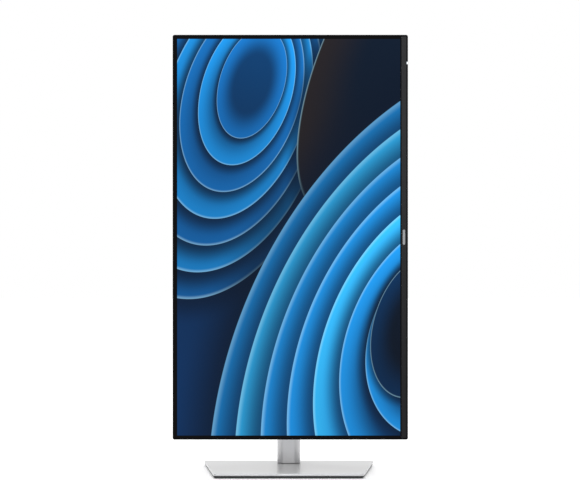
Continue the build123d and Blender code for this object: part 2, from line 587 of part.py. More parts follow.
# The tilt bracket: a round plate for the pivot and two ears for the hinge.
with BuildPart() as tilt_bracket:
    post(0, 0, BRACKET_RADIUS, BRACKET_FRONT, BRACKET_BACK)
    for near, far in ((-EAR_OUTER, -EAR_INNER), (EAR_INNER, EAR_OUTER)):
        block(-EAR_RADIUS, EAR_RADIUS, near, far, BRACKET_BACK, TILT_DEPTH)
        roller(near, far, EAR_RADIUS)
    post(STOP_RADIUS, 0, STOP_PIN, MOUNT_PLATE_BACK + 0.8, BRACKET_FRONT)
    post(0, 0, PIVOT_SHAFT + 0.3, BRACKET_FRONT - 1, BRACKET_BACK + 1, mode=Mode.SUBTRACT)
    roller(-EAR_OUTER - 1, EAR_OUTER + 1, HINGE_PIN + 0.3, mode=Mode.SUBTRACT)
tilt_bracket.part.label = "tilt_bracket"
export_step(tilt_bracket.part, "parts/tilt_bracket.step")

SHROUD_RADIUS, SHROUD_BACK = 34.0, 64.0
with BuildPart() as pivot_shroud:
    post(0, 0, SHROUD_RADIUS, BRACKET_FRONT - 0.5, SHROUD_BACK)
    post(0, 0, BRACKET_RADIUS + 0.2, BRACKET_FRONT - 1, BRACKET_BACK, mode=Mode.SUBTRACT)
    post(0, 0, SHROUD_RADIUS - 2, BRACKET_BACK, SHROUD_BACK + 1, mode=Mode.SUBTRACT)
pivot_shroud.part.label = "pivot_shroud"
export_step(pivot_shroud.part, "parts/pivot_shroud.step")

# The hinge on the neck: its pin, two torsion springs, and the cover over it.
BARREL_RADIUS, BARREL_HALF = 9.0, 12.0
with BuildPart() as neck:
    roller(-BARREL_HALF, BARREL_HALF, BARREL_RADIUS)
    block(-BARREL_RADIUS, BARREL_RADIUS, -NECK_HALF, NECK_HALF, TILT_DEPTH, CARRIAGE_FRONT - SCREEN_Y)
    roller(-BARREL_HALF - 1, BARREL_HALF + 1, HINGE_PIN + 0.05, mode=Mode.SUBTRACT)
neck.part.label = "neck"
export_step(neck.part, "parts/neck.step")

with BuildPart() as hinge_pin:
    roller(-HINGE_PIN_HALF, HINGE_PIN_HALF, HINGE_PIN)
    for near in (-HINGE_PIN_HALF - 1.5, HINGE_PIN_HALF):
        roller(near, near + 1.5, HINGE_PIN + 2)
hinge_pin.part.label = "hinge_pin"
export_step(hinge_pin.part, "parts/hinge_pin.step")

with BuildPart() as hinge_washers:
    for side in (-1, 1):
        for near, far in ((EAR_INNER - 0.5, EAR_INNER - 0.1), (EAR_OUTER + 0.1, EAR_OUTER + 0.9)):
            start, end = sorted((side * near, side * far))
            roller(start, end, BARREL_RADIUS)
    roller(-EAR_OUTER - 2, EAR_OUTER + 2, HINGE_PIN + 0.05, mode=Mode.SUBTRACT)
hinge_washers.part.label = "hinge_washers"
export_step(hinge_washers.part, "parts/hinge_washers.step")

SPRING_WIRE, SPRING_RADIUS, SPRING_PITCH, SPRING_LENGTH = 0.6, 5.0, 1.4, 4.2
TILT_Y = SCREEN_Y + TILT_DEPTH
with BuildPart() as tilt_springs:
    for side in (-1, 1):
        with BuildLine() as turns:
            Helix(SPRING_PITCH, SPRING_LENGTH, SPRING_RADIUS, center=(side * 18.6, TILT_Y, PIVOT_Z),
                  direction=(side, 0, 0))
        with BuildSketch(Plane(turns.line @ 0, z_dir=turns.line % 0)):
            Circle(SPRING_WIRE)
        sweep(path=turns.line, is_frenet=True)
tilt_springs.part.label = "tilt_springs"
export_step(tilt_springs.part, "parts/tilt_springs.step")

HINGE_COVER_FRONT = TILT_DEPTH - 5.0
HINGE_COVER_BACK = -RISER_DEEP / 2 - 2 - SCREEN_Y
with BuildPart() as hinge_cover:
    rise, half = HINGE_COVER_RISE, HINGE_COVER_HALF
    block(-rise, rise, -half, half, HINGE_COVER_FRONT, HINGE_COVER_BACK)
    rear_edges = hinge_cover.edges().group_by(Axis.Y)[-1]
    fillet(rear_edges, 6)
    block(-rise + 2, rise - 2, -half + 2, half - 2,
          HINGE_COVER_FRONT - 1, HINGE_COVER_BACK - 2, mode=Mode.SUBTRACT)
    block(-BARREL_RADIUS - 0.1, BARREL_RADIUS + 0.1, -NECK_HALF - 0.1, NECK_HALF + 0.1,
          HINGE_COVER_BACK - 10, HINGE_COVER_BACK + 1, mode=Mode.SUBTRACT)
hinge_cover.part.label = "hinge_cover"
export_step(hinge_cover.part, "parts/hinge_cover.step")

# The carriage with the constant-force spring coiled inside it, and the balls that it runs on.
with BuildPart() as slide_carriage:
    slab(-CARRIAGE_HALF, CARRIAGE_HALF, CARRIAGE_FRONT, CARRIAGE_REAR,
         PIVOT_Z - CARRIAGE_RISE, PIVOT_Z + CARRIAGE_RISE)
    slab(-COIL_HALF - 0.6, COIL_HALF + 0.6, COIL_Y - COIL_RADIUS - 0.5, FRAME_REAR,
         COIL_Z - COIL_RADIUS - 0.6, COIL_Z + COIL_RADIUS + 0.6, mode=Mode.SUBTRACT)
    with Locations(Location((0, COIL_Y, COIL_Z), (0, 90, 0))):
        Cylinder(1.7, 2 * CARRIAGE_HALF, mode=Mode.SUBTRACT)
slide_carriage.part.label = "slide_carriage"
export_step(slide_carriage.part, "parts/slide_carriage.step")

with BuildPart() as spring_coil:
    with Locations(Location((0, COIL_Y, COIL_Z), (0, 90, 0))):
        Cylinder(COIL_RADIUS, 2 * COIL_HALF)
        Cylinder(1.4, 2 * CARRIAGE_HALF - 0.2)
spring_coil.part.label = "spring_coil"
export_step(spring_coil.part, "parts/spring_coil.step")

RIBBON_Y = 9.6
with BuildPart() as spring_ribbon:
    slab(-COIL_HALF, COIL_HALF, RIBBON_Y, RIBBON_Y + 0.3, COIL_Z, FRAME_TOP - 2)
spring_ribbon.part.label = "spring_ribbon"
export_step(spring_ribbon.part, "parts/spring_ribbon.step")

CAGE_INNER, CAGE_OUTER, BALL = 7.2, 8.0, 0.55
with BuildPart() as ball_cages:
    for side in (-1, 1):
        near, far = sorted((side * CAGE_INNER, side * CAGE_OUTER))
        slab(near, far, -5, 3, PIVOT_Z - 26, PIVOT_Z + 26)
        for step in range(-2, 3):
            spot = Location((side * (CAGE_INNER + CAGE_OUTER) / 2, -1, PIVOT_Z + 10 * step), (0, 90, 0))
            with Locations(spot):
                Cylinder(0.8, 1.2, mode=Mode.SUBTRACT)
                Sphere(BALL)
ball_cages.part.label = "ball_cages"
export_step(ball_cages.part, "parts/ball_cages.step")

RAIL_INNER, RAIL_LOW, RAIL_HIGH = 8.4, 150.0, 356.0
with BuildPart() as guide_rails:
    for side in (-1, 1):
        near, far = sorted((side * RAIL_INNER, side * FRAME_INNER))
        slab(near, far, -7, 5, RAIL_LOW, RAIL_HIGH)
guide_rails.part.label = "guide_rails"
export_step(guide_rails.part, "parts/guide_rails.step")


# The column and the covers of the riser round it, with an oval hole for cables low down.
def cable_hole(grow, mode=Mode.SUBTRACT):
    """Cut or add the oval that runs through the riser from front to rear."""
    middle = (CABLE_HOLE_LOW + CABLE_HOLE_HIGH) / 2
    tall = CABLE_HOLE_HIGH - CABLE_HOLE_LOW
    with BuildSketch(Plane.XZ) as oval:
        with Locations((0, middle)):
            SlotOverall(tall + 2 * grow, CABLE_HOLE_WIDE + 2 * grow, rotation=90)
    extrude(oval.sketch, amount=RISER_DEEP / 2, both=True, mode=mode)


with BuildPart() as column_frame:
    slab(-FRAME_HALF, FRAME_HALF, FRAME_FRONT, FRAME_REAR, RISER_FOOT, FRAME_TOP)
    slab(-FRAME_INNER, FRAME_INNER, FRAME_FRONT - 1, FRAME_BACK_INNER, 0, 400, mode=Mode.SUBTRACT)
    cable_hole(CABLE_LINER_WALL + 0.1)
column_frame.part.label = "column_frame"
export_step(column_frame.part, "parts/column_frame.step")

with BuildPart() as column_foot:
    slab(-FRAME_INNER, FRAME_INNER, FRAME_FRONT, FRAME_BACK_INNER, RISER_FOOT, FOOT_TOP)
    disc(SCREW_RADIUS + 0.2, 0, 20, mode=Mode.SUBTRACT)
column_foot.part.label = "column_foot"
export_step(column_foot.part, "parts/column_foot.step")

with BuildPart() as cable_pass_liner:
    cable_hole(CABLE_LINER_WALL, mode=Mode.ADD)
    cable_hole(0)
cable_pass_liner.part.label = "cable_pass_liner"
export_step(cable_pass_liner.part, "parts/cable_pass_liner.step")


def riser_shell():
    """Add the riser's whole tube."""
    inner_wide, inner_deep = RISER_WIDE - 2 * RISER_WALL, RISER_DEEP - 2 * RISER_WALL
    with BuildSketch(Plane.XY.offset(RISER_FOOT)) as ring:
        RectangleRounded(RISER_WIDE, RISER_DEEP, RISER_CORNER)
        RectangleRounded(inner_wide, inner_deep, RISER_CORNER - RISER_WALL, mode=Mode.SUBTRACT)
    extrude(ring.sketch, amount=RISER_TOP - RISER_FOOT)


with BuildPart() as riser_front_cover:
    riser_shell()
    slab(-RISER_WIDE, RISER_WIDE, 0, RISER_DEEP, 0, 400, mode=Mode.SUBTRACT)
    slab(-SLOT_HALF, SLOT_HALF, -RISER_DEEP, 0, SLOT_LOW, SLOT_HIGH, mode=Mode.SUBTRACT)
    cable_hole(CABLE_LINER_WALL)
riser_front_cover.part.label = "riser_front_cover"
export_step(riser_front_cover.part, "parts/riser_front_cover.step")

with BuildPart() as riser_rear_cover:
    riser_shell()
    slab(-RISER_WIDE, RISER_WIDE, -RISER_DEEP, 0, 0, 400, mode=Mode.SUBTRACT)
    cable_hole(CABLE_LINER_WALL)
riser_rear_cover.part.label = "riser_rear_cover"
export_step(riser_rear_cover.part, "parts/riser_rear_cover.step")

with BuildPart() as riser_top_cap:
    with BuildSketch(Plane.XY.offset(RISER_TOP)):
        RectangleRounded(RISER_WIDE, RISER_DEEP, RISER_CORNER)
    extrude(amount=CAP_TOP - RISER_TOP)
    top_edges = riser_top_cap.edges().group_by(Axis.Z)[-1]
    fillet(top_edges, 1.2)
    with BuildSketch(Plane.XY.offset(RISER_TOP)):
        RectangleRounded(RISER_WIDE - 4, RISER_DEEP - 4, RISER_CORNER - 2)
        RectangleRounded(RISER_WIDE - 7, RISER_DEEP - 7, RISER_CORNER - 3.5, mode=Mode.SUBTRACT)
    extrude(amount=-2.5)
riser_top_cap.part.label = "riser_top_cap"
export_step(riser_top_cap.part, "parts/riser_top_cap.step")


# The foot plate: a silver cover over a steel weight, on a black steel plate with rubber feet.
def base_outline(inset, corner=0.0, mode=Mode.ADD):
    """Draw the trapezium of the foot plate, or one that lies inside it, with rounded corners if any."""
    front, rear = BASE_FRONT_WIDE / 2 - inset, BASE_REAR_WIDE / 2 - inset
    near, far = BASE_FRONT + inset, BASE_REAR - inset
    with BuildSketch(Plane.XY) as outline:
        Polygon((-front, near), (front, near), (rear, far), (-rear, far), align=None)
        if corner:
            fillet(outline.vertices(), corner)
    add(outline.sketch, mode=mode)


with BuildPart() as base_cover:
    with BuildSketch(Plane.XY.offset(COVER_EDGE)):
        base_outline(0, BASE_CORNER)
    extrude(amount=BASE_TOP - COVER_EDGE)
    upper_edges = base_cover.edges().group_by(Axis.Z)[-1]
    chamfer(upper_edges, 0.9)
    with BuildSketch(Plane.XY.offset(COVER_EDGE)):
        base_outline(4)
    extrude(amount=BASE_CEILING - COVER_EDGE, mode=Mode.SUBTRACT)
    disc(SWIVEL_NECK + 0.6, 0, 10, mode=Mode.SUBTRACT)
base_cover.part.label = "base_cover"
export_step(base_cover.part, "parts/base_cover.step")

with BuildPart() as base_weight:
    with BuildSketch(Plane.XY.offset(PLATE_TOP)):
        base_outline(4.5)
        Circle(SWIVEL_DISC + 1, mode=Mode.SUBTRACT)
    extrude(amount=BASE_CEILING - PLATE_TOP - 0.1)
base_weight.part.label = "base_weight"
export_step(base_weight.part, "parts/base_weight.step")

# Four round rubber feet, and a rubber ring round the opening for the thumb screw.
FEET = [(-88, 16), (88, 16), (-76, -138), (76, -138)]
FOOT_RADIUS, FOOT_POCKET = 7.0, 1.7
SCREW_OPENING = 13.5
RING_FOOT_INNER, RING_FOOT_OUTER = 15.0, 19.0
with BuildPart() as base_plate:
    with BuildSketch(Plane.XY.offset(PLATE_BOTTOM)):
        base_outline(PLATE_INSET, BASE_CORNER - PLATE_INSET)
        Circle(SCREW_OPENING, mode=Mode.SUBTRACT)
    extrude(amount=PLATE_TOP - PLATE_BOTTOM)
    lower_edges = base_plate.faces().sort_by(Axis.Z)[0].outer_wire().edges()
    chamfer(lower_edges, 0.5)
    with BuildSketch(Plane.XY.offset(PLATE_TOP)):
        base_outline(PLATE_INSET, BASE_CORNER - PLATE_INSET)
        base_outline(4.1, mode=Mode.SUBTRACT)
    extrude(amount=COVER_EDGE - PLATE_TOP)
    with BuildSketch(Plane.XY.offset(PLATE_BOTTOM)):
        with Locations(*FEET):
            Circle(FOOT_RADIUS + 0.1)
        Circle(RING_FOOT_OUTER + 0.1)
        Circle(RING_FOOT_INNER - 0.1, mode=Mode.SUBTRACT)
    extrude(amount=FOOT_POCKET - PLATE_BOTTOM, mode=Mode.SUBTRACT)
base_plate.part.label = "base_plate"
export_step(base_plate.part, "parts/base_plate.step")

with BuildPart() as base_feet:
    with BuildSketch():
        with Locations(*FEET):
            Circle(FOOT_RADIUS)
        Circle(RING_FOOT_OUTER)
        Circle(RING_FOOT_INNER, mode=Mode.SUBTRACT)
    extrude(amount=FOOT_POCKET)
base_feet.part.label = "base_feet"
export_step(base_feet.part, "parts/base_feet.step")

# The swivel: a disc trapped under the cover, and the screw that holds the column to it.
with BuildPart() as swivel_rotor:
    disc(SWIVEL_DISC, PLATE_TOP + 0.3, BASE_CEILING - 0.3)
    disc(SWIVEL_NECK, BASE_CEILING - 0.3, RISER_FOOT)
    disc(SCREW_RADIUS + 0.3, 0, 10, mode=Mode.SUBTRACT)
swivel_rotor.part.label = "swivel_rotor"
export_step(swivel_rotor.part, "parts/swivel_rotor.step")

RING_AXIS_Z = 2.0
with BuildPart() as thumb_screw:
    disc(SCREW_HEAD, 1.3, 2.9)
    disc(SCREW_RADIUS, 2.9, 18)
    with Locations(Location((0, 0, RING_AXIS_Z), (0, 90, 0))):
        Cylinder(0.55, 30, mode=Mode.SUBTRACT)
thumb_screw.part.label = "thumb_screw"
export_step(thumb_screw.part, "parts/thumb_screw.step")

with BuildPart() as thumb_screw_ring:
    disc(11.6, RING_AXIS_Z - 0.5, RING_AXIS_Z + 0.5)
    disc(SCREW_HEAD + 0.6, 0, 5, mode=Mode.SUBTRACT)
    slab(-20, 20, -20, -0.6, 0, 5, mode=Mode.SUBTRACT)
    for near, far in ((-10.6, -7.6), (7.6, 10.6)):
        with Locations(Location(((near + far) / 2, 0, RING_AXIS_Z), (0, 90, 0))):
            Cylinder(0.4, far - near)
thumb_screw_ring.part.label = "thumb_screw_ring"
export_step(thumb_screw_ring.part, "parts/thumb_screw_ring.step")
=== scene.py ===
"""A computer monitor in portrait on a pivoting stand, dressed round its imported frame.

The frame gives every body, node and size.  Each sub-assembly below is a class that holds its sizes,
builds the pieces that its solids leave plain and gives every piece its finish.  All lengths are in
metres, in the frame's own directions: X to the viewer's right, Y away from the viewer, Z up.
"""
from __future__ import annotations

import json
import logging
import math
from collections.abc import Callable, Iterable, Iterator
from contextlib import contextmanager
from dataclasses import dataclass, field
from enum import Enum

import bpy
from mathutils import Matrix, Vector

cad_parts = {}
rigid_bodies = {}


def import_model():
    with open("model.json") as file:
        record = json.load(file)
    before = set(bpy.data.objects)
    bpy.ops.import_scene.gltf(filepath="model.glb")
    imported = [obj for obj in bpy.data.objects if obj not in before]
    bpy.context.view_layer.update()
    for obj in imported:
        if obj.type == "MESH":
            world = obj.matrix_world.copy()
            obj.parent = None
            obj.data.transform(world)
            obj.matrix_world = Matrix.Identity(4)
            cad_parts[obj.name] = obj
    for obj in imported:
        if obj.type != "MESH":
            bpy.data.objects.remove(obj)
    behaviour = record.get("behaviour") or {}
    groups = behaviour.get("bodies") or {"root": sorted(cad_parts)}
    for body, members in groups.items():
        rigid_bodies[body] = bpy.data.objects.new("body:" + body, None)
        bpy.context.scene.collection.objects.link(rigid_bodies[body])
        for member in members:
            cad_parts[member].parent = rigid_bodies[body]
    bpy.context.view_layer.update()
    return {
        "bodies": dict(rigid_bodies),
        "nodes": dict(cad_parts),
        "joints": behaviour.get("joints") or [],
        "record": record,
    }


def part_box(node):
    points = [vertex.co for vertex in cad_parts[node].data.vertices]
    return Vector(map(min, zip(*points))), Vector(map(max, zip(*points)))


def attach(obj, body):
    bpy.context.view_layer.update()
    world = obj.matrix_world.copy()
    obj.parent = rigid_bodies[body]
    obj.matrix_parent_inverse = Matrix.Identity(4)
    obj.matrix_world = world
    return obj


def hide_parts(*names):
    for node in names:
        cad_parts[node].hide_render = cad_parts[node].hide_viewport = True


log = logging.getLogger("monitor")

Colour = tuple[float, float, float]
Point = tuple[float, float, float]
MM = 0.001


# ---------------------------------------------------------------------------- node graphs


class Graph:
    """A material's or a group's node tree, with short calls for the nodes that it needs."""

    def __init__(self, tree: bpy.types.NodeTree) -> None:
        """Keep the tree and number its nodes from left to right.

        Args:
            tree: The node tree to build in.
        """
        self.tree = tree
        self.count = 0

    def node(self, kind: str, **settings: object) -> bpy.types.Node:
        """Add a node and set its properties.

        Args:
            kind: The node's type, without the "ShaderNode" in front.
            **settings: Properties of the node.

        Returns:
            The new node.
        """
        made = self.tree.nodes.new(kind if kind.startswith("Node") else "ShaderNode" + kind)
        made.location = (180 * self.count, -40 * (self.count % 7))
        self.count += 1
        for name, value in settings.items():
            setattr(made, name, value)
        return made

    def feed(self, socket: bpy.types.NodeSocket, value: object) -> None:
        """Link a socket to another, or set its value."""
        if isinstance(value, bpy.types.NodeSocket):
            self.tree.links.new(value, socket)
        elif isinstance(value, tuple) and len(value) == 3 and socket.type == "RGBA":
            socket.default_value = (*value, 1.0)
        else:
            socket.default_value = value

    def math(self, operation: str, *values: object, clamp: bool = False) -> bpy.types.NodeSocket:
        """Add a Math node.

        Args:
            operation: The operation's name.
            *values: Its inputs, each a number or a socket.
            clamp: Whether to keep the result between 0 and 1.

        Returns:
            The result's socket.
        """
        made = self.node("Math", operation=operation, use_clamp=clamp)
        for index, value in enumerate(values):
            self.feed(made.inputs[index], value)
        return made.outputs[0]

    def span(self, value: object, low: object, high: object, smooth: bool = True) -> bpy.types.NodeSocket:
        """Map a value from a range to 0..1.

        Args:
            value: The socket or number to map.
            low: What becomes 0.
            high: What becomes 1.
            smooth: Whether to ease both ends.

        Returns:
            The result's socket.
        """
        made = self.node("MapRange", interpolation_type="SMOOTHSTEP" if smooth else "LINEAR")
        self.feed(made.inputs["Value"], value)
        self.feed(made.inputs["From Min"], low)
        self.feed(made.inputs["From Max"], high)
        return made.outputs["Result"]

    def mix(self, factor: object, first: object, second: object, blend: str = "MIX") -> bpy.types.NodeSocket:
        """Mix two colours.

        Args:
            factor: How much of the second colour shows.
            first: The first colour.
            second: The second colour.
            blend: The blend mode.

        Returns:
            The mixed colour's socket.
        """
        made = self.node("Mix", data_type="RGBA", blend_type=blend)
        self.feed(made.inputs[0], factor)
        self.feed(made.inputs[6], first)
        self.feed(made.inputs[7], second)
        return made.outputs[2]

    def place(self) -> tuple[bpy.types.NodeSocket, bpy.types.NodeSocket, bpy.types.NodeSocket]:
        """Read where a point of the piece lies, in the frame's metres."""
        split = self.node("SeparateXYZ")
        self.feed(split.inputs[0], self.node("TexCoord").outputs["Object"])
        return split.outputs[0], split.outputs[1], split.outputs[2]


def new_group(name: str, inputs: dict[str, tuple[str, object]], outputs: dict[str, str]) -> tuple[
    bpy.types.NodeTree, Graph, bpy.types.Node, bpy.types.Node
]:
    """Start a shader node group with named sockets.

    Args:
        name: The group's name.
        inputs: For each input, its socket type and its default.
        outputs: For each output, its socket type.

    Returns:
        The group's tree, its graph, its input node and its output node.
    """
    tree = bpy.data.node_groups.new(name, "ShaderNodeTree")
    for label, (kind, default) in inputs.items():
        made = tree.interface.new_socket(name=label, in_out="INPUT", socket_type="NodeSocket" + kind)
        if default is not None:
            made.default_value = default
    for label, kind in outputs.items():
        tree.interface.new_socket(name=label, in_out="OUTPUT", socket_type="NodeSocket" + kind)
    graph = Graph(tree)
    return tree, graph, graph.node("NodeGroupInput"), graph.node("NodeGroupOutput")


def grain_group() -> bpy.types.NodeTree:
    """Build the group that gives moulded and painted faces their fine grain and uneven gloss."""
    tree, graph, given, result = new_group(
        "fine_grain",
        {
            "Grains per metre": ("Float", 2500.0),
            "Stretch": ("Vector", (1.0, 1.0, 1.0)),
            "Roughness": ("Float", 0.5),
            "Spread": ("Float", 0.06),
        },
        {"Roughness": "Float", "Height": "Float", "Mottle": "Float"},
    )
    stretched = graph.node("VectorMath", operation="MULTIPLY")
    graph.feed(stretched.inputs[0], graph.node("TexCoord").outputs["Object"])
    graph.feed(stretched.inputs[1], given.outputs["Stretch"])
    fine = graph.node("TexNoise")
    graph.feed(fine.inputs["Vector"], stretched.outputs[0])
    graph.feed(fine.inputs["Scale"], given.outputs["Grains per metre"])
    graph.feed(fine.inputs["Detail"], 3.0)
    broad = graph.node("TexNoise")
    graph.feed(broad.inputs["Vector"], stretched.outputs[0])
    graph.feed(broad.inputs["Scale"], 22.0)
    graph.feed(broad.inputs["Detail"], 4.0)
    swing = graph.math("SUBTRACT", broad.outputs[0], 0.5)
    fine_swing = graph.math("SUBTRACT", fine.outputs[0], 0.5)
    both = graph.math("ADD", swing, graph.math("MULTIPLY", fine_swing, 0.6))
    rough = graph.math("MULTIPLY_ADD", both, given.outputs["Spread"], given.outputs["Roughness"])
    graph.feed(result.inputs["Roughness"], rough)
    graph.feed(result.inputs["Height"], fine.outputs[0])
    graph.feed(result.inputs["Mottle"], broad.outputs[0])
    return tree


def edge_highlight_group() -> bpy.types.NodeTree:
    """Build the group that finds a piece's outer edges, broken into patches, for a painted edge highlight."""
    tree, graph, given, result = new_group(
        "painted_edge_highlight",
        {"Reach": ("Float", 0.0004), "Amount": ("Float", 0.5)},
        {"Mask": "Float"},
    )
    soft = graph.node("Bevel", samples=4)
    graph.feed(soft.inputs["Radius"], given.outputs["Reach"])
    true_normal = graph.node("NewGeometry").outputs["Normal"]
    dot = graph.node("VectorMath", operation="DOT_PRODUCT")
    graph.feed(dot.inputs[0], soft.outputs[0])
    graph.feed(dot.inputs[1], true_normal)
    # mask of the rounded outer edges, where the painted highlight goes
    edge = graph.span(dot.outputs["Value"], 0.995, 0.86)
    noise = graph.node("TexNoise")
    graph.feed(noise.inputs["Vector"], graph.node("TexCoord").outputs["Object"])
    graph.feed(noise.inputs["Scale"], 240.0)
    graph.feed(noise.inputs["Detail"], 5.0)
    patchy = graph.span(noise.outputs[0], 0.35, 0.7)
    # painted edge highlight, broken into patches by the noise
    painted_glint = graph.math("MULTIPLY", edge, patchy)
    graph.feed(result.inputs["Mask"], graph.math("MULTIPLY", painted_glint, given.outputs["Amount"]))
    return tree


def leaf_group() -> bpy.types.NodeTree:
    """Build the group that lays one curved sheet of colour over what is already on the screen."""
    tree, graph, given, result = new_group(
        "colour_leaf",
        {
            "Below": ("Color", (0.0, 0.0, 0.0, 1.0)),
            "Middle X": ("Float", 0.0),
            "Middle Z": ("Float", 0.0),
            "Reach X": ("Float", 0.1),
            "Reach Z": ("Float", 0.1),
            "Turn": ("Float", 0.0),
            "Rim": ("Color", (0.1, 0.5, 0.9, 1.0)),
            "Depth": ("Color", (0.0, 0.05, 0.2, 1.0)),
            "Fade": ("Float", 0.3),
            "Light": ("Float", 1.0),
        },
        {"Colour": "Color"},
    )
    place_x, _, place_z = graph.place()
    from_x = graph.math("SUBTRACT", place_x, given.outputs["Middle X"])
    from_z = graph.math("SUBTRACT", place_z, given.outputs["Middle Z"])
    cos = graph.math("COSINE", given.outputs["Turn"])
    sin = graph.math("SINE", given.outputs["Turn"])
    along = graph.math("ADD", graph.math("MULTIPLY", from_x, cos), graph.math("MULTIPLY", from_z, sin))
    across = graph.math("SUBTRACT", graph.math("MULTIPLY", from_z, cos), graph.math("MULTIPLY", from_x, sin))
    along = graph.math("DIVIDE", along, given.outputs["Reach X"])
    across = graph.math("DIVIDE", across, given.outputs["Reach Z"])
    squares = graph.math("ADD", graph.math("MULTIPLY", along, along), graph.math("MULTIPLY", across, across))
    inward = graph.math("SUBTRACT", 1.0, graph.math("SQRT", squares))
    inside = graph.span(inward, -0.0012, 0.0012)
    falling = graph.span(inward, 0.0, given.outputs["Fade"])
    round_the_rim = graph.span(across, -1.0, 1.0)
    lit = graph.math("MULTIPLY_ADD", round_the_rim, 0.40, 0.72)
    face = graph.mix(falling, given.outputs["Rim"], given.outputs["Depth"])
    shade = graph.node("HueSaturation")
    graph.feed(shade.inputs["Color"], face)
    graph.feed(shade.inputs["Value"], graph.math("MULTIPLY", lit, given.outputs["Light"]))
    glint = graph.math("MULTIPLY", graph.span(inward, 0.022, 0.0), 0.35)
    bright = graph.mix(glint, shade.outputs[0], (0.45, 0.82, 1.0), "SCREEN")
    shadow = graph.math("MULTIPLY", graph.span(inward, -0.16, 0.0), 0.72)
    below = graph.mix(shadow, given.outputs["Below"], (0.0, 0.006, 0.02))
    graph.feed(result.inputs["Colour"], graph.mix(inside, below, bright))
    return tree


class Groups:
    """The node groups that the finishes share, each built when it is first needed."""

    def __init__(self) -> None:
        """Start with none built."""
        self.made: dict[str, bpy.types.NodeTree] = {}
        self.makers: dict[str, Callable[[], bpy.types.NodeTree]] = {
            "grain": grain_group,
            "edge_glint": edge_highlight_group,
            "leaf": leaf_group,
        }

    def place(self, graph: Graph, name: str, **values: object) -> bpy.types.Node:
        """Add a group to a graph.

        Args:
            graph: The graph that it goes in.
            name: The group's short name.
            **values: Its inputs, with underscores for spaces.

        Returns:
            The group's node.
        """
        if name not in self.made:
            self.made[name] = self.makers[name]()
        made = graph.node("Group", node_tree=self.made[name])
        for label, value in values.items():
            graph.feed(made.inputs[label.replace("_", " ")], value)
        return made


GROUPS = Groups()


# ---------------------------------------------------------------------------- finishes


@dataclass(frozen=True)
class Finish:
    """A moulded, painted, cast or rolled surface.

    The grain is a fine bump, and stretching it in one direction makes it brushed. The outer edges are
    lightened in patches: a painted edge highlight.
    """

    name: str
    colour: Colour
    # colour that the outer edges are lightened to: a painted edge highlight
    painted_glint: Colour
    metallic: float = 0.0
    roughness: float = 0.5
    spread: float = 0.08
    grains: float = 2600.0
    stretch: Colour = (1.0, 1.0, 1.0)
    bump: float = 0.15
    bump_height: float = 0.00004
    # how strongly the painted edge highlight shows
    edge_glint: float = 0.3
    mottle: float = 0.06
    coat: float = 0.0
    specular: float = 0.5
    transmission: float = 0.0
    glow: float = 0.0

    def make(self) -> bpy.types.Material:
        """Build the material.

        Returns:
            The new material.
        """
        made = bpy.data.materials.new(self.name)
        made.use_nodes = True
        graph = Graph(made.node_tree)
        shader = made.node_tree.nodes["Principled BSDF"]
        grain = GROUPS.place(
            graph, "grain", Grains_per_metre=self.grains, Stretch=self.stretch,
            Roughness=self.roughness, Spread=self.spread,
        )
        # painted edge highlight: the outer edges are lightened in patches towards the second colour
        edge_glint = GROUPS.place(graph, "edge_glint", Amount=self.edge_glint)
        dim = tuple(channel * (1 - self.mottle) for channel in self.colour)
        bright = tuple(min(1.0, channel * (1 + self.mottle)) for channel in self.colour)
        base = graph.mix(grain.outputs["Mottle"], dim, bright)
        base = graph.mix(edge_glint.outputs["Mask"], base, self.painted_glint)
        graph.feed(shader.inputs["Base Color"], base)
        graph.feed(shader.inputs["Roughness"], grain.outputs["Roughness"])
        bump = graph.node("Bump")
        graph.feed(bump.inputs["Strength"], self.bump)
        graph.feed(bump.inputs["Distance"], self.bump_height)
        graph.feed(bump.inputs["Height"], grain.outputs["Height"])
        graph.feed(shader.inputs["Normal"], bump.outputs[0])
        shader.inputs["Metallic"].default_value = self.metallic
        shader.inputs["Specular IOR Level"].default_value = self.specular
        shader.inputs["Coat Weight"].default_value = self.coat
        shader.inputs["Coat Roughness"].default_value = 0.12
        shader.inputs["Transmission Weight"].default_value = self.transmission
        if self.glow:
            shader.inputs["Emission Color"].default_value = (*self.colour, 1.0)
            shader.inputs["Emission Strength"].default_value = self.glow
        return made


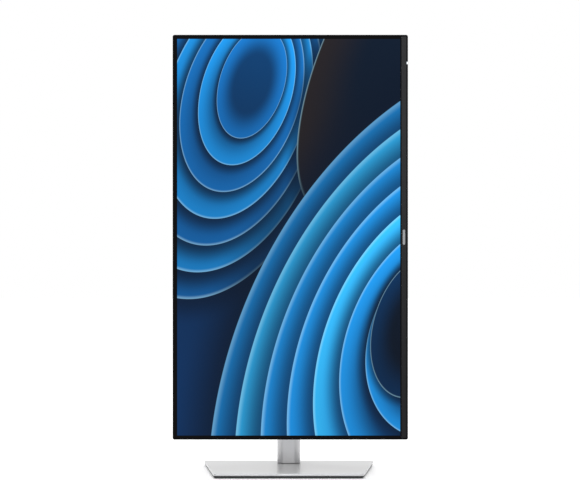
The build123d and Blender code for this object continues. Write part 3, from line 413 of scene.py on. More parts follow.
class Surface(Enum):
    """The finishes that the monitor's pieces are made in."""

    SILVER_SHELL = Finish("silver_shell", (0.62, 0.62, 0.63), (0.78, 0.79, 0.8), metallic=0.75,
                          roughness=0.30, grains=5200.0, bump=0.08)
    SILVER_FOOT = Finish("silver_foot", (0.62, 0.62, 0.625), (0.80, 0.80, 0.81), metallic=0.35,
                         roughness=0.36, grains=5200.0, bump=0.10, coat=0.25)
    BEZEL_BLACK = Finish("bezel_black", (0.0030, 0.0030, 0.0033), (0.012, 0.012, 0.013), roughness=0.5,
                         grains=3600.0, bump=0.25, specular=0.03)
    SHELL_BLACK = Finish("shell_black", (0.0075, 0.0075, 0.0082), (0.035, 0.035, 0.037), roughness=0.46,
                         grains=1500.0, bump=0.5, bump_height=0.00008, spread=0.12)
    BUTTON_BLACK = Finish("button_black", (0.016, 0.016, 0.017), (0.07, 0.07, 0.072), roughness=0.38,
                          grains=3000.0, bump=0.2)
    BADGE = Finish("badge_satin", (0.30, 0.31, 0.32), (0.5, 0.5, 0.52), metallic=0.8, roughness=0.35,
                   grains=4200.0, stretch=(1.0, 1.0, 0.05))
    BORDER_GLASS = Finish("border_glass", (0.004, 0.004, 0.0045), (0.01, 0.01, 0.01), roughness=0.35,
                          grains=6000.0, bump=0.05, edge_glint=0.0, specular=0.03)
    STEEL = Finish("zinc_steel", (0.46, 0.47, 0.48), (0.7, 0.7, 0.7), metallic=1.0, roughness=0.34,
                   grains=900.0, stretch=(1.0, 1.0, 0.04), bump=0.3, spread=0.2, mottle=0.12)
    DARK_STEEL = Finish("powder_coat", (0.012, 0.012, 0.013), (0.08, 0.08, 0.08), roughness=0.6,
                        grains=1300.0, bump=0.6, bump_height=0.00012)
    BLUED_STEEL = Finish("blued_strip", (0.10, 0.12, 0.16), (0.4, 0.4, 0.42), metallic=1.0, roughness=0.28,
                         grains=1200.0, stretch=(1.0, 0.05, 1.0))
    CASTING = Finish("die_casting", (0.42, 0.43, 0.44), (0.62, 0.62, 0.62), metallic=0.9, roughness=0.52,
                     grains=900.0, bump=0.6, bump_height=0.0001, mottle=0.12)
    BRASS = Finish("turned_brass", (0.62, 0.42, 0.16), (0.85, 0.66, 0.35), metallic=1.0, roughness=0.26,
                   grains=2200.0, stretch=(1.0, 0.1, 1.0))
    GOLD = Finish("plated_contact", (0.85, 0.6, 0.25), (0.95, 0.75, 0.45), metallic=1.0, roughness=0.2)
    BOARD = Finish("solder_mask", (0.008, 0.06, 0.022), (0.3, 0.22, 0.1), roughness=0.32, grains=700.0,
                   bump=0.3, mottle=0.3, coat=0.4)
    FLAT_CABLE = Finish("flat_cable", (0.62, 0.6, 0.52), (0.8, 0.78, 0.7), roughness=0.4, grains=1600.0,
                        stretch=(1.0, 1.0, 0.05))
    RUBBER = Finish("foot_rubber", (0.014, 0.014, 0.015), (0.06, 0.06, 0.06), roughness=0.86, grains=1100.0,
                    bump=0.7, bump_height=0.00012, mottle=0.2)
    WHITE_SHEET = Finish("white_sheet", (0.82, 0.83, 0.84), (0.9, 0.9, 0.9), roughness=0.7)
    WHITE_MOULDING = Finish("white_moulding", (0.74, 0.74, 0.72), (0.9, 0.9, 0.9), roughness=0.5)
    CLEAR_SHEET = Finish("clear_sheet", (0.86, 0.9, 0.92), (0.95, 0.95, 0.95), roughness=0.12,
                         transmission=0.8, bump=0.05)
    LAMP_LENS = Finish("lamp_lens", (0.85, 0.93, 1.0), (1.0, 1.0, 1.0), roughness=0.3, glow=1.6)
    BLANK_LABEL = Finish("blank_label", (0.20, 0.205, 0.21), (0.3, 0.3, 0.3), roughness=0.42, grains=3200.0,
                         bump=0.15, metallic=0.3)


@dataclass(frozen=True)
class ChinBrushAndShade:
    """The dark grey strip along the chin, brushed along its length, with painted shade: darker at its lower
    end and lighter at its upper end.
    """

    # the two ends of the painted shade: dark at the bottom, light at the top
    dark: Colour = (0.009, 0.0092, 0.010)
    light: Colour = (0.022, 0.0225, 0.024)
    roughness: float = 0.42

    def make(self, low: float, high: float) -> bpy.types.Material:
        """Build the material.

        Args:
            low: Height where the painted shade is darkest.
            high: Height where it is lightest.

        Returns:
            The new material.
        """
        made = bpy.data.materials.new("chin_brushed_and_shaded")
        made.use_nodes = True
        graph = Graph(made.node_tree)
        shader = made.node_tree.nodes["Principled BSDF"]
        grain = GROUPS.place(graph, "grain", Grains_per_metre=4200.0, Stretch=(1.0, 1.0, 0.02),
                             Roughness=self.roughness, Spread=0.2)
        _, _, height = graph.place()
        # painted shade: darker towards the bottom of the strip, lighter towards the top
        base = graph.mix(graph.span(height, low, high), self.dark, self.light)
        streaks = graph.math("MULTIPLY_ADD", grain.outputs["Height"], 0.7, 0.65)
        tone = graph.node("HueSaturation")
        graph.feed(tone.inputs["Color"], base)
        graph.feed(tone.inputs["Value"], streaks)
        graph.feed(shader.inputs["Base Color"], tone.outputs[0])
        graph.feed(shader.inputs["Roughness"], grain.outputs["Roughness"])
        bump = graph.node("Bump")
        graph.feed(bump.inputs["Strength"], 0.25)
        graph.feed(bump.inputs["Distance"], 0.00003)
        graph.feed(bump.inputs["Height"], grain.outputs["Height"])
        graph.feed(shader.inputs["Normal"], bump.outputs[0])
        shader.inputs["Specular IOR Level"].default_value = 0.15
        return made


@dataclass(frozen=True)
class Leaf:
    """One curved sheet of colour in the picture on the screen, sized in widths of the screen."""

    x: float
    z: float
    reach_x: float
    reach_z: float
    turn: float
    rim: Colour
    depth: Colour
    fade: float = 0.3
    light: float = 1.0


AZURE = (0.006, 0.165, 0.52)
SKY = (0.011, 0.300, 0.80)
PALE = (0.035, 0.500, 0.98)
DEEP = (0.001, 0.040, 0.135)
INK = (0.001, 0.009, 0.026)
SLATE = (0.020, 0.016, 0.018)


@dataclass(frozen=True)
class ScreenPicture:
    """The lit picture: nested curved leaves of blue, drawn from the back to the front."""

    strength: float = 1.0
    leaves: tuple[Leaf, ...] = ()

    @staticmethod
    def layout() -> tuple[Leaf, ...]:
        """Work out the leaves, from the back to the front.

        Returns:
            A nest of leaves high on the left, a dark petal beside it, a broad sweep from the upper
            right to the lower left, a nest of leaves inside the sweep, and a dark heart.
        """
        leaves = []
        for step in range(7):
            leaves.append(
                Leaf(-0.60 + 0.045 * step, 1.02 + 0.060 * step, 0.98 - 0.115 * step, 1.62 - 0.185 * step,
                     -0.30, SKY if step % 2 else AZURE, DEEP, 0.20 + 0.05 * step, 0.80 + 0.06 * step)
            )
        leaves.append(Leaf(0.92, 1.62, 0.62, 1.55, -0.42, SLATE, INK, 0.7, 1.0))
        for step in range(7):
            leaves.append(
                Leaf(1.90 - 0.09 * step, -1.60 + 0.11 * step, 2.50 - 0.31 * step, 3.40 - 0.42 * step,
                     -0.35, PALE if step % 3 == 1 else SKY, AZURE if step < 5 else DEEP,
                     0.12 + 0.03 * step, 1.0 + 0.03 * step)
            )
        leaves.append(Leaf(1.16, -0.80, 0.40, 0.66, -0.30, DEEP, INK, 0.5, 0.7))
        return tuple(leaves)

    def make(self, low: Vector, high: Vector) -> bpy.types.Material:
        """Build the screen's material.

        Args:
            low: The screen's lowest corner.
            high: Its highest corner.

        Returns:
            The new material.
        """
        made = bpy.data.materials.new("screen_picture")
        made.use_nodes = True
        graph = Graph(made.node_tree)
        shader = made.node_tree.nodes["Principled BSDF"]
        width = (high.x - low.x) / 2
        middle_x, middle_z = (low.x + high.x) / 2, (low.z + high.z) / 2
        place_x, _, place_z = graph.place()
        slope = graph.math("ADD", graph.math("MULTIPLY", place_x, -2.2),
                           graph.math("SUBTRACT", middle_z, place_z))
        colour = graph.mix(graph.span(slope, -0.25, 0.75), INK, (0.002, 0.032, 0.12))
        for leaf in self.layout():
            laid = GROUPS.place(
                graph, "leaf", Below=colour,
                Middle_X=middle_x + leaf.x * width, Middle_Z=middle_z + leaf.z * width,
                Reach_X=leaf.reach_x * width, Reach_Z=leaf.reach_z * width, Turn=leaf.turn, Rim=leaf.rim,
                Depth=leaf.depth, Fade=leaf.fade, Light=leaf.light,
            )
            colour = laid.outputs["Colour"]
        grain = GROUPS.place(graph, "grain", Grains_per_metre=9000.0, Roughness=0.34, Spread=0.05)
        graph.feed(shader.inputs["Emission Color"], colour)
        graph.feed(shader.inputs["Roughness"], grain.outputs["Roughness"])
        shader.inputs["Emission Strength"].default_value = self.strength
        shader.inputs["Base Color"].default_value = (0.004, 0.004, 0.005, 1.0)
        shader.inputs["Specular IOR Level"].default_value = 0.035
        return made


# ---------------------------------------------------------------------------- the bench


class Bench:
    """The tools that pieces are modelled with, and what the frame says about the CAD nodes."""

    def __init__(self, frame: dict) -> None:
        """Keep the frame and build the finishes as they are asked for.
        """
        self.frame = frame
        self.materials: dict[Surface, bpy.types.Material] = {}
        self.slots = {row["node"]: row["material_slot"] for row in frame["record"]["subparts"]}
        bodies = frame["record"]["behaviour"]["bodies"]
        self.bodies = {node: body for body, nodes in bodies.items() for node in nodes}

    def material(self, surface: Surface) -> bpy.types.Material:
        """Return a finish's material, built once."""
        if surface not in self.materials:
            self.materials[surface] = surface.value.make()
        return self.materials[surface]

    def box(self, node: str) -> tuple[Vector, Vector]:
        """Return a CAD node's lowest and highest corners."""
        low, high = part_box(node)
        return Vector(low), Vector(high)

    def paint(self, surface: Surface | bpy.types.Material, *nodes: str) -> None:
        """Give CAD nodes that stay as they are their finish.

        Args:
            surface: The finish, or a material.
            *nodes: The nodes' names.
        """
        chosen = self.material(surface) if isinstance(surface, Surface) else surface
        for node in nodes:
            data = self.frame["nodes"][node].data
            data.materials.clear()
            data.materials.append(chosen)

    @staticmethod
    def clear() -> None:
        """Leave nothing selected."""
        for other in bpy.context.selected_objects:
            other.select_set(False)

    def hold(self, piece: bpy.types.Object) -> None:
        """Make a piece the only one selected, and active."""
        self.clear()
        piece.select_set(True)
        bpy.context.view_layer.objects.active = piece

    @contextmanager
    def edit(self, piece: bpy.types.Object, everything: bool = True) -> Iterator[None]:
        """Open a piece in edit mode.

        Args:
            piece: The piece.
            everything: Whether all of it is selected, or only what was selected in code.
        """
        self.hold(piece)
        bpy.ops.object.mode_set(mode="EDIT")
        if everything:
            bpy.ops.mesh.select_all(action="SELECT")
        yield
        bpy.ops.object.mode_set(mode="OBJECT")

    def pick_faces(self, piece: bpy.types.Object, wanted: Callable[[Vector, Vector], bool]) -> None:
        """Select the faces that a test of centre and normal accepts, and nothing else.

        Args:
            piece: The piece.
            wanted: The test.
        """
        with self.edit(piece):
            bpy.ops.mesh.select_mode(type="FACE")
            bpy.ops.mesh.select_all(action="DESELECT")
        for face in piece.data.polygons:
            face.select = wanted(face.center, face.normal)

    def pick_edges(self, piece: bpy.types.Object, wanted: Callable[[Vector, Vector], bool]) -> None:
        """Select the edges that a test of their two ends accepts, and nothing else.

        Args:
            piece: The piece.
            wanted: The test.
        """
        with self.edit(piece):
            bpy.ops.mesh.select_mode(type="EDGE")
            bpy.ops.mesh.select_all(action="DESELECT")
        points = piece.data.vertices
        for edge in piece.data.edges:
            first, second = edge.vertices
            edge.select = wanted(points[first].co, points[second].co)

    def modify(self, piece: bpy.types.Object, kind: str, **settings: object) -> None:
        """Add a modifier and apply it.

        Args:
            piece: The piece.
            kind: The modifier's type.
            **settings: Its settings.
        """
        self.hold(piece)
        made = piece.modifiers.new(kind.lower(), kind)
        for name, value in settings.items():
            setattr(made, name, value)
        bpy.ops.object.modifier_apply(modifier=made.name)

    def smooth(self, piece: bpy.types.Object, angle: float = 32.0) -> None:
        """Shade a piece smooth except at its sharp edges."""
        self.hold(piece)
        bpy.ops.object.shade_smooth_by_angle(angle=math.radians(angle))

    def seat(self, piece: bpy.types.Object, name: str, surface: Surface | bpy.types.Material, body: str,
             slot: str, replaces: Iterable[str] = ()) -> bpy.types.Object:
        """Put a finished piece's place into its mesh, dress it and let it ride on its body.

        Args:
            piece: The piece.
            name: Its name.
            surface: Its finish.
            body: The body that it rides on.
            slot: The record's material slot; not used.
            replaces: The CAD nodes that it stands for.

        Returns:
            The piece.
        """
        self.hold(piece)
        bpy.ops.object.transform_apply(location=True, rotation=True, scale=True)
        piece.name = piece.data.name = name
        piece.data.materials.clear()
        piece.data.materials.append(self.material(surface) if isinstance(surface, Surface) else surface)
        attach(piece, body)
        if replaces:
            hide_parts(*replaces)
        log.info("%s: %d faces on %s", name, len(piece.data.polygons), body)
        return piece

    def soften(self, node: str, width: float, surface: Surface | bpy.types.Material, segments: int = 2,
               angle: float = 34.0) -> bpy.types.Object:
        """Stand a copy of a CAD node with rounded edges in its place.

        Args:
            node: The CAD node.
            width: How far each rounding reaches, in metres.
            surface: The finish.
            segments: How many facets round each edge.
            angle: The least angle, in degrees, of an edge that is rounded.

        Returns:
            The rounded piece.
        """
        twin = bpy.data.objects.new(node + "_rounded", self.frame["nodes"][node].data.copy())
        bpy.context.scene.collection.objects.link(twin)
        with self.edit(twin):
            bpy.ops.mesh.remove_doubles(threshold=0.000004)
            bpy.ops.mesh.dissolve_limited(angle_limit=math.radians(0.4))
        self.modify(twin, "BEVEL", width=width, segments=segments, limit_method="ANGLE",
                    angle_limit=math.radians(angle), use_clamp_overlap=True)
        self.smooth(twin, angle)
        self.modify(twin, "WEIGHTED_NORMAL", mode="FACE_AREA", weight=50, keep_sharp=True)
        return self.seat(twin, node + "_rounded", surface, self.bodies[node], self.slots[node], [node])

    def block(self, low: Vector, high: Vector) -> bpy.types.Object:
        """Start a piece as a box between two corners."""
        self.clear()
        bpy.ops.mesh.primitive_cube_add(size=1.0, location=(low + high) / 2)
        piece = bpy.context.object
        piece.scale = high - low
        bpy.ops.object.transform_apply(location=True, rotation=True, scale=True)
        return piece

    def drum(self, middle: Vector, radius: float, depth: float, along: str = "Y",
             sides: int = 32) -> bpy.types.Object:
        """Start a piece as a cylinder along an axis of the frame."""
        self.clear()
        turns = {"X": (0, math.pi / 2, 0), "Y": (math.pi / 2, 0, 0), "Z": (0, 0, 0)}
        bpy.ops.mesh.primitive_cylinder_add(vertices=sides, radius=radius, depth=depth, location=middle,
                                            rotation=turns[along])
        piece = bpy.context.object
        bpy.ops.object.transform_apply(location=True, rotation=True, scale=True)
        return piece

    def copies(self, piece: bpy.types.Object, shifts: Iterable[Vector]) -> list[bpy.types.Object]:
        """Copy a piece, each copy with its own mesh, moved by each shift."""
        made = []
        for shift in shifts:
            twin = piece.copy()
            twin.data = piece.data.copy()
            bpy.context.scene.collection.objects.link(twin)
            twin.location = shift
            made.append(twin)
        return made

    def join(self, pieces: list[bpy.types.Object]) -> bpy.types.Object:
        """Join pieces into one."""
        self.hold(pieces[0])
        for other in pieces:
            other.select_set(True)
        bpy.ops.object.join()
        return bpy.context.object


# ---------------------------------------------------------------------------- the sub-assemblies


@dataclass
class Head:
    """The screen's front: bezel, chin, badge, lamp, glass and the lit picture."""

    bench: Bench
    rounding: float = 0.45 * MM

    def build(self) -> None:
        """Dress the front of the head."""
        bench = self.bench
        low, high = bench.box("front_polariser")
        bench.paint(ScreenPicture().make(low, high), "front_polariser")
        bench.paint(Surface.BORDER_GLASS, "lcd_glass")
        bench.soften("front_frame", self.rounding, Surface.BEZEL_BLACK)
        strip_low, strip_high = bench.box("chin_strip")
        bench.soften("chin_strip", 0.2 * MM, ChinBrushAndShade().make(strip_low.z, strip_high.z))
        bench.soften("front_badge", 0.03 * MM, Surface.BADGE)
        bench.paint(Surface.LAMP_LENS, "power_led_lens")


@dataclass
class Panel:
    """The sheets, frames and boards inside the head."""

    bench: Bench
    finishes: dict[Surface, tuple[str, ...]] = field(default_factory=lambda: {
        Surface.WHITE_SHEET: ("optical_films", "reflector_sheet"),
        Surface.CLEAR_SHEET: ("light_guide_plate",),
        Surface.WHITE_MOULDING: ("panel_mid_frame", "ball_cages"),
        Surface.STEEL: ("panel_back_tray", "support_chassis", "guide_rails", "column_frame", "base_weight"),
        Surface.BOARD: ("timing_board", "main_board", "power_board", "controls_board", "led_light_bar",
                        "power_components"),
        Surface.FLAT_CABLE: ("panel_ribbon",),
    })

    def build(self) -> None:
        """Give the hidden pieces their finishes."""
        for surface, nodes in self.finishes.items():
            self.bench.paint(surface, *nodes)


@dataclass
class Back:
    """The rear cover with its screws, sockets, controls and blank label."""

    bench: Bench
    cover_screw_radius: float = 3.3 * MM
    cover_screw_height: float = 1.2 * MM
    plate_screw_radius: float = 3.4 * MM
    plate_screw_height: float = 1.1 * MM
    plate_screw_spread: float = 32 * MM
    button_radius: float = 4.7 * MM
    flange_radius: float = 5.8 * MM
    flange_deep: float = 1.4 * MM
    knob_radius: float = 5.2 * MM
    knob_hollow: float = 3.6 * MM
    label_wide: float = 64 * MM
    label_tall: float = 34 * MM
    label_rise: float = 84 * MM
    label_sunk: float = 0.02 * MM
    label_deep: float = 0.12 * MM

    def build(self) -> None:
        """Dress the back of the head."""
        bench = self.bench
        bench.soften("rear_cover", 0.22 * MM, Surface.SHELL_BLACK)
        for node in ("display_port_socket", "hdmi_socket", "usb_sockets"):
            bench.soften(node, 0.15 * MM, Surface.STEEL)
        bench.soften("ac_inlet", 0.3 * MM, Surface.BUTTON_BLACK)
        bench.soften("lock_plate", 0.15 * MM, Surface.STEEL)
        bench.soften("release_latch", 0.3 * MM, Surface.BUTTON_BLACK)
        bench.soften("vesa_bushes", 0.15 * MM, Surface.BRASS)
        bench.paint(Surface.BUTTON_BLACK, "joystick_gimbal", "joystick_shaft")
        self.screws()
        self.power_button()
        self.stick_cap()
        self.label()
        self.contacts()

    def cross_screw(self, seat: Vector, radius: float, height: float) -> bpy.types.Object:
        """Model one screw head with a cross recess, facing backwards.

        Args:
            seat: The middle of the face that it stands on.
            radius: The head's radius.
            height: How far it stands off its seat.

        Returns:
            The screw head.
        """
        bench = self.bench
        head = bench.drum(seat + Vector((0, height / 2, 0)), radius, height)
        bench.modify(head, "BEVEL", width=0.3 * height, segments=3, limit_method="ANGLE")
        arm, half, top = 0.58 * radius, 0.11 * radius, seat.y + height
        for reach_x, reach_z in ((arm, half), (half, arm)):
            cutter = bench.block(Vector((seat.x - reach_x, top - 0.5 * height, seat.z - reach_z)),
                                 Vector((seat.x + reach_x, top + height, seat.z + reach_z)))
            bench.modify(head, "BOOLEAN", operation="DIFFERENCE", object=cutter, solver="EXACT")
            bpy.data.objects.remove(cutter)
        bench.smooth(head)
        return head

    def screws(self) -> None:
        """Model one sunk screw and one plate screw, and copy each to its four corners."""
        bench = self.bench
        low, high = bench.box("cover_screws")
        radius, height = self.cover_screw_radius, self.cover_screw_height
        head = self.cross_screw(Vector((low.x + radius, high.y - height, low.z + radius)), radius, height)
        across, up = high.x - low.x - 2 * radius, high.z - low.z - 2 * radius
        rest = bench.copies(head, [Vector((x, 0, z)) for x, z in ((across, 0), (0, up), (across, up))])
        bench.seat(bench.join([head, *rest]), "cross_recess_screws", Surface.DARK_STEEL, "head", "bare_steel",
                   ["cover_screws"])
        plate_low, plate_high = bench.box("stand_mount_plate")
        half, spread = (plate_high.z - plate_low.z) / 2, self.plate_screw_spread
        middle_x, middle_z = plate_high.x - half, (plate_low.z + plate_high.z) / 2
        head = self.cross_screw(Vector((middle_x - spread, plate_high.y, middle_z - spread)),
                                self.plate_screw_radius, self.plate_screw_height)
        rest = bench.copies(head, [Vector((x, 0, z)) for x, z in ((2 * spread, 0), (0, 2 * spread),
                                                                  (2 * spread, 2 * spread))])
        bench.seat(bench.join([head, *rest]), "plate_screws", Surface.STEEL, "head", "bare_steel")

    def power_button(self) -> None:
        """Model the dished power button over its CAD solid."""
        bench = self.bench
        low, high = bench.box("power_button")
        middle = (low + high) / 2
        deep = self.flange_deep
        flange = bench.drum(Vector((middle.x, low.y + deep / 2, middle.z)), self.flange_radius, deep,
                            sides=48)
        cap = bench.drum(Vector((middle.x, (low.y + deep + high.y) / 2, middle.z)), self.button_radius,
                         high.y - low.y - deep, sides=64)
        bench.pick_faces(cap, lambda centre, normal: normal.y > 0.9)
        with bench.edit(cap, everything=False):
            bpy.ops.mesh.inset(thickness=0.9 * MM)
            bpy.ops.mesh.inset(thickness=0.5 * MM, depth=-0.35 * MM)
            bpy.ops.mesh.inset(thickness=1.6 * MM, depth=-0.15 * MM)
        bench.modify(cap, "BEVEL", width=0.3 * MM, segments=3, limit_method="ANGLE",
                     angle_limit=math.radians(50))
        bench.smooth(cap, 40)
        button = bench.join([cap, flange])
        bench.seat(button, "dished_power_button", Surface.BUTTON_BLACK, "button", "black_plastic",
                   ["power_button"])

    def stick_cap(self) -> None:
        """Model the control stick's cap: a dished knob, narrower below, hollow round its shaft."""
        bench = self.bench
        low, high = bench.box("joystick_cap")
        middle = (low + high) / 2
        knob = bench.drum(middle, self.knob_radius, high.y - low.y, sides=72)
        bench.pick_faces(knob, lambda centre, normal: normal.y > 0.9)
        with bench.edit(knob, everything=False):
            bpy.ops.mesh.inset(thickness=0.8 * MM)
            bpy.ops.mesh.inset(thickness=0.9 * MM, depth=-0.4 * MM)
            bpy.ops.mesh.inset(thickness=1.4 * MM, depth=-0.2 * MM)
        bench.pick_faces(knob, lambda centre, normal: normal.y < -0.9)
        with bench.edit(knob, everything=False):
            bpy.ops.transform.resize(value=(0.8, 1.0, 0.8))
            bpy.ops.mesh.inset(thickness=2.3 * MM)
            bpy.ops.mesh.extrude_region_move(TRANSFORM_OT_translate={"value": (0, self.knob_hollow, 0)})
        bench.modify(knob, "BEVEL", width=0.25 * MM, segments=3, limit_method="ANGLE",
                     angle_limit=math.radians(40))
        bench.smooth(knob, 45)
        bench.seat(knob, "stick_knob", Surface.BUTTON_BLACK, "stick_cap", "black_plastic", ["joystick_cap"])

    def label(self) -> None:
        """Model the blank rating label: a thin plate with rounded corners and no print."""
        bench = self.bench
        _, cover_high = bench.box("rear_cover")
        plate_low, plate_high = bench.box("stand_mount_plate")
        middle_z = (plate_low.z + plate_high.z) / 2
        low = Vector((plate_low.x, cover_high.y - self.label_sunk, middle_z + self.label_rise))
        label = bench.block(low, low + Vector((self.label_wide, self.label_deep, self.label_tall)))
        bench.pick_edges(label, lambda first, second: abs(first.y - second.y) > 0.01 * MM)
        with bench.edit(label, everything=False):
            bpy.ops.mesh.bevel(offset=2.5 * MM, segments=5)
        bench.smooth(label)
        bench.seat(label, "blank_rating_label", Surface.BLANK_LABEL, "head", "black_plastic")

    def contacts(self) -> None:
        """Model one plated contact and copy it along the tongue of each socket."""
        bench = self.bench
        rows = {"display_port_socket": (7, 1.4), "hdmi_socket": (7, 1.3)}
        made = []
        for node, (count, pitch) in rows.items():
            low, high = bench.box(node)
            middle = (low + high) / 2
            first = middle.z - (count - 1) / 2 * pitch * MM
            strip = bench.block(Vector((low.x + 2.5 * MM, middle.y - 0.9 * MM, first - 0.3 * MM)),
                                Vector((low.x + 9.0 * MM, middle.y - 0.4 * MM, first + 0.3 * MM)))
            made.append(strip)
            made.extend(bench.copies(strip, [Vector((0, 0, pitch * MM * step)) for step in range(1, count)]))
        bench.seat(bench.join(made), "socket_contacts", Surface.GOLD, "head", "brass")


@dataclass
class Pivot:
    """The quick-release plate, the pivot and the tilt hinge behind the head."""

    bench: Bench

    def build(self) -> None:
        """Dress the pivot and the hinge."""
        bench = self.bench
        bench.soften("stand_mount_plate", 0.3 * MM, Surface.STEEL)
        bench.soften("pivot_disc", 0.3 * MM, Surface.STEEL)
        bench.soften("pivot_nut", 0.25 * MM, Surface.STEEL)
        bench.soften("tilt_bracket", 0.4 * MM, Surface.DARK_STEEL)
        bench.soften("pivot_shroud", 0.8 * MM, Surface.SHELL_BLACK, segments=3)
        bench.soften("hinge_cover", 0.8 * MM, Surface.SHELL_BLACK, segments=3)
        bench.soften("neck", 0.4 * MM, Surface.DARK_STEEL)
        bench.soften("hinge_pin", 0.3 * MM, Surface.STEEL)
        bench.paint(Surface.BLUED_STEEL, "tilt_springs", "spring_coil", "spring_ribbon")
        bench.paint(Surface.STEEL, "hinge_washers")


@dataclass
class Riser:
    """The riser's silver shells with its cap and cable pass, and the column inside."""

    bench: Bench
    seam: float = 0.25 * MM

    def build(self) -> None:
        """Dress the riser."""
        bench = self.bench
        for node in ("riser_front_cover", "riser_rear_cover", "riser_top_cap"):
            bench.soften(node, self.seam, Surface.SILVER_SHELL)
        bench.soften("cable_pass_liner", 0.3 * MM, Surface.BUTTON_BLACK)
        bench.paint(Surface.CASTING, "column_foot", "slide_carriage", "swivel_rotor")


@dataclass
class Foot:
    """The foot plate: silver cover, black plate, rubber feet and thumb screw."""

    bench: Bench
    tread: float = 1.3 * MM
    ridges: int = 48
    head_deep: float = 1.6 * MM
    shank_radius: float = 3 * MM
    slot_long: float = 12 * MM
    slot_wide: float = 1.6 * MM
    slot_deep: float = 0.4 * MM

    def build(self) -> None:
        """Dress the foot."""
        bench = self.bench
        bench.soften("base_cover", 0.25 * MM, Surface.SILVER_FOOT, segments=3, angle=25)
        bench.soften("base_plate", 0.2 * MM, Surface.DARK_STEEL)
        bench.soften("thumb_screw_ring", 0.2 * MM, Surface.STEEL)
        self.feet()
        self.thumb_screw()

    def feet(self) -> None:
        """Round the rubber feet and sink a shallow step into each tread."""
        bench = self.bench
        feet = bench.soften("base_feet", 0.3 * MM, Surface.RUBBER, segments=3)
        bench.pick_faces(feet, lambda centre, normal: normal.z < -0.99 and centre.xy.length > 50 * MM)
        with bench.edit(feet, everything=False):
            bpy.ops.mesh.inset(thickness=self.tread)
            bpy.ops.mesh.inset(thickness=0.25 * MM, depth=-0.3 * MM)

    def thumb_screw(self) -> None:
        """Knurl the thumb screw's rim, and cut a slot for a coin across its face."""
        bench = self.bench
        low, high = bench.box("thumb_screw")
        middle = (low + high) / 2
        head_high, radius = low.z + self.head_deep, (high.x - low.x) / 2
        head = bench.drum(Vector((middle.x, middle.y, (low.z + head_high) / 2)), radius, head_high - low.z,
                          along="Z", sides=2 * self.ridges)
        turn = math.pi / self.ridges
        bench.pick_faces(head, lambda centre, normal: abs(normal.z) < 0.5
                         and int(math.atan2(centre.y, centre.x) % (2 * math.pi) / turn) % 2 == 0)
        with bench.edit(head, everything=False):
            bpy.ops.mesh.inset(thickness=0.08 * MM, depth=-0.35 * MM, use_individual=True)
        coin = bench.block(Vector((-self.slot_long / 2, -self.slot_wide / 2, low.z - 1 * MM)),
                           Vector((self.slot_long / 2, self.slot_wide / 2, low.z + self.slot_deep)))
        bench.modify(head, "BOOLEAN", operation="DIFFERENCE", object=coin, solver="EXACT")
        bpy.data.objects.remove(coin)
        shank = bench.drum(Vector((middle.x, middle.y, (head_high + high.z) / 2)), self.shank_radius,
                           high.z - head_high, along="Z")
        bench.modify(shank, "BEVEL", width=0.5 * MM, segments=2, limit_method="ANGLE")
        screw = bench.join([head, shank])
        bench.smooth(screw)
        bench.seat(screw, "knurled_thumb_screw", Surface.STEEL, "screw", "bare_steel", ["thumb_screw"])


# ---------------------------------------------------------------------------- the studio


@dataclass(frozen=True)
class Lamp:
    """A soft square lamp that hangs at a point and faces the monitor."""

    name: str
    at: Point
    towards: Point
    size: float
    power: float

    def hang(self) -> None:
        """Add the lamp to the scene."""
        data = bpy.data.lights.new(self.name, "AREA")
        data.size = self.size
        data.energy = self.power
        made = bpy.data.objects.new(self.name, data)
        made.location = self.at
        made.rotation_euler = (Vector(self.towards) - Vector(self.at)).to_track_quat("-Z", "Y").to_euler()
        bpy.context.scene.collection.objects.link(made)


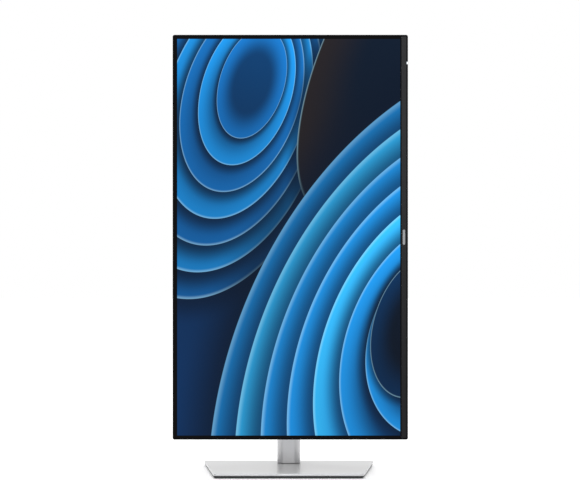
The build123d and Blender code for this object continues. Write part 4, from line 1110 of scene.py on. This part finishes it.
@dataclass
class Studio:
    """The pale floor, the soft lights, the room round them and the camera."""

    eye: Vector = field(default_factory=lambda: Vector((0.0017, -3.127, 0.3153)))
    lens: float = 139.9
    floor_half: float = 9.0
    lamps: tuple[Lamp, ...] = (
        Lamp("overhead", (0.0, 0.1, 2.4), (0.0, 0.0, 0.0), 2.0, 24.0),
        Lamp("front_high", (0.2, -2.4, 2.3), (0.0, 0.0, 0.2), 1.4, 16.0),
        Lamp("left_rear", (-1.9, 2.0, 1.8), (0.0, 0.0, 0.3), 1.0, 22.0),
        Lamp("right_rear", (2.3, 1.6, 1.3), (0.0, 0.0, 0.3), 0.7, 9.0),
    )

    def build(self) -> None:
        """Set up the studio."""
        bpy.context.scene.view_settings.view_transform = "Standard"
        self.camera()
        self.floor()
        self.room()
        for lamp in self.lamps:
            lamp.hang()

    def camera(self) -> None:
        """Stand the camera level, straight in front of the monitor."""
        data = bpy.data.cameras.new("camera")
        data.lens = self.lens
        data.sensor_width = 36.0
        data.clip_end = 50.0
        made = bpy.data.objects.new("camera", data)
        made.location = self.eye
        made.rotation_euler = (math.pi / 2, 0, 0)
        bpy.context.scene.collection.objects.link(made)
        bpy.context.scene.camera = made

    def floor(self) -> None:
        """Lay the floor, which glows white away from the monitor."""
        Bench.clear()
        bpy.ops.mesh.primitive_plane_add(size=2 * self.floor_half, location=(0, 0, 0))
        floor = bpy.context.object
        floor.name = "floor"
        made = bpy.data.materials.new("pale_floor")
        made.use_nodes = True
        graph = Graph(made.node_tree)
        shader = made.node_tree.nodes["Principled BSDF"]
        place_x, place_y, _ = graph.place()
        apart = graph.math("SQRT", graph.math("ADD", graph.math("MULTIPLY", place_x, place_x),
                                              graph.math("MULTIPLY", place_y, place_y)))
        far = graph.span(apart, 0.25, 1.3)
        graph.feed(shader.inputs["Base Color"], graph.mix(far, (0.9, 0.9, 0.905), (0.25, 0.25, 0.25)))
        graph.feed(shader.inputs["Emission Color"], graph.mix(far, (0.2, 0.2, 0.2), (1.0, 1.0, 1.0)))
        shader.inputs["Emission Strength"].default_value = 1.0
        shader.inputs["Roughness"].default_value = 0.8
        shader.inputs["Specular IOR Level"].default_value = 0.1
        floor.data.materials.append(made)

    def room(self) -> None:
        """Light the room white behind, dim at both sides and softly in front."""
        world = bpy.data.worlds.new("room")
        bpy.context.scene.world = world
        world.use_nodes = True
        graph = Graph(world.node_tree)
        background = world.node_tree.nodes["Background"]
        split = graph.node("SeparateXYZ")
        graph.feed(split.inputs[0], graph.node("TexCoord").outputs["Generated"])
        behind = graph.span(split.outputs[1], 0.70, 0.93)
        above = graph.math("MULTIPLY", graph.span(split.outputs[2], 0.25, 0.9), 0.85)
        before = graph.math("MULTIPLY", graph.span(split.outputs[1], -0.80, -0.98), 1.6)
        light = graph.math("MAXIMUM", graph.math("MAXIMUM", behind, above), before)
        graph.feed(background.inputs["Color"], graph.mix(light, (0.24, 0.24, 0.245), (1.0, 1.0, 1.0)))
        background.inputs["Strength"].default_value = 1.0


def main() -> None:
    """Build the studio and every sub-assembly, in order."""
    logging.basicConfig(level=logging.INFO, format="%(name)s: %(message)s")
    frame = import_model()
    Studio().build()
    bench = Bench(frame)
    for part in (Head, Panel, Back, Pivot, Riser, Foot):
        part(bench).build()
        log.info("%s is dressed", part.__name__)


if __name__ == "__main__":
    main()
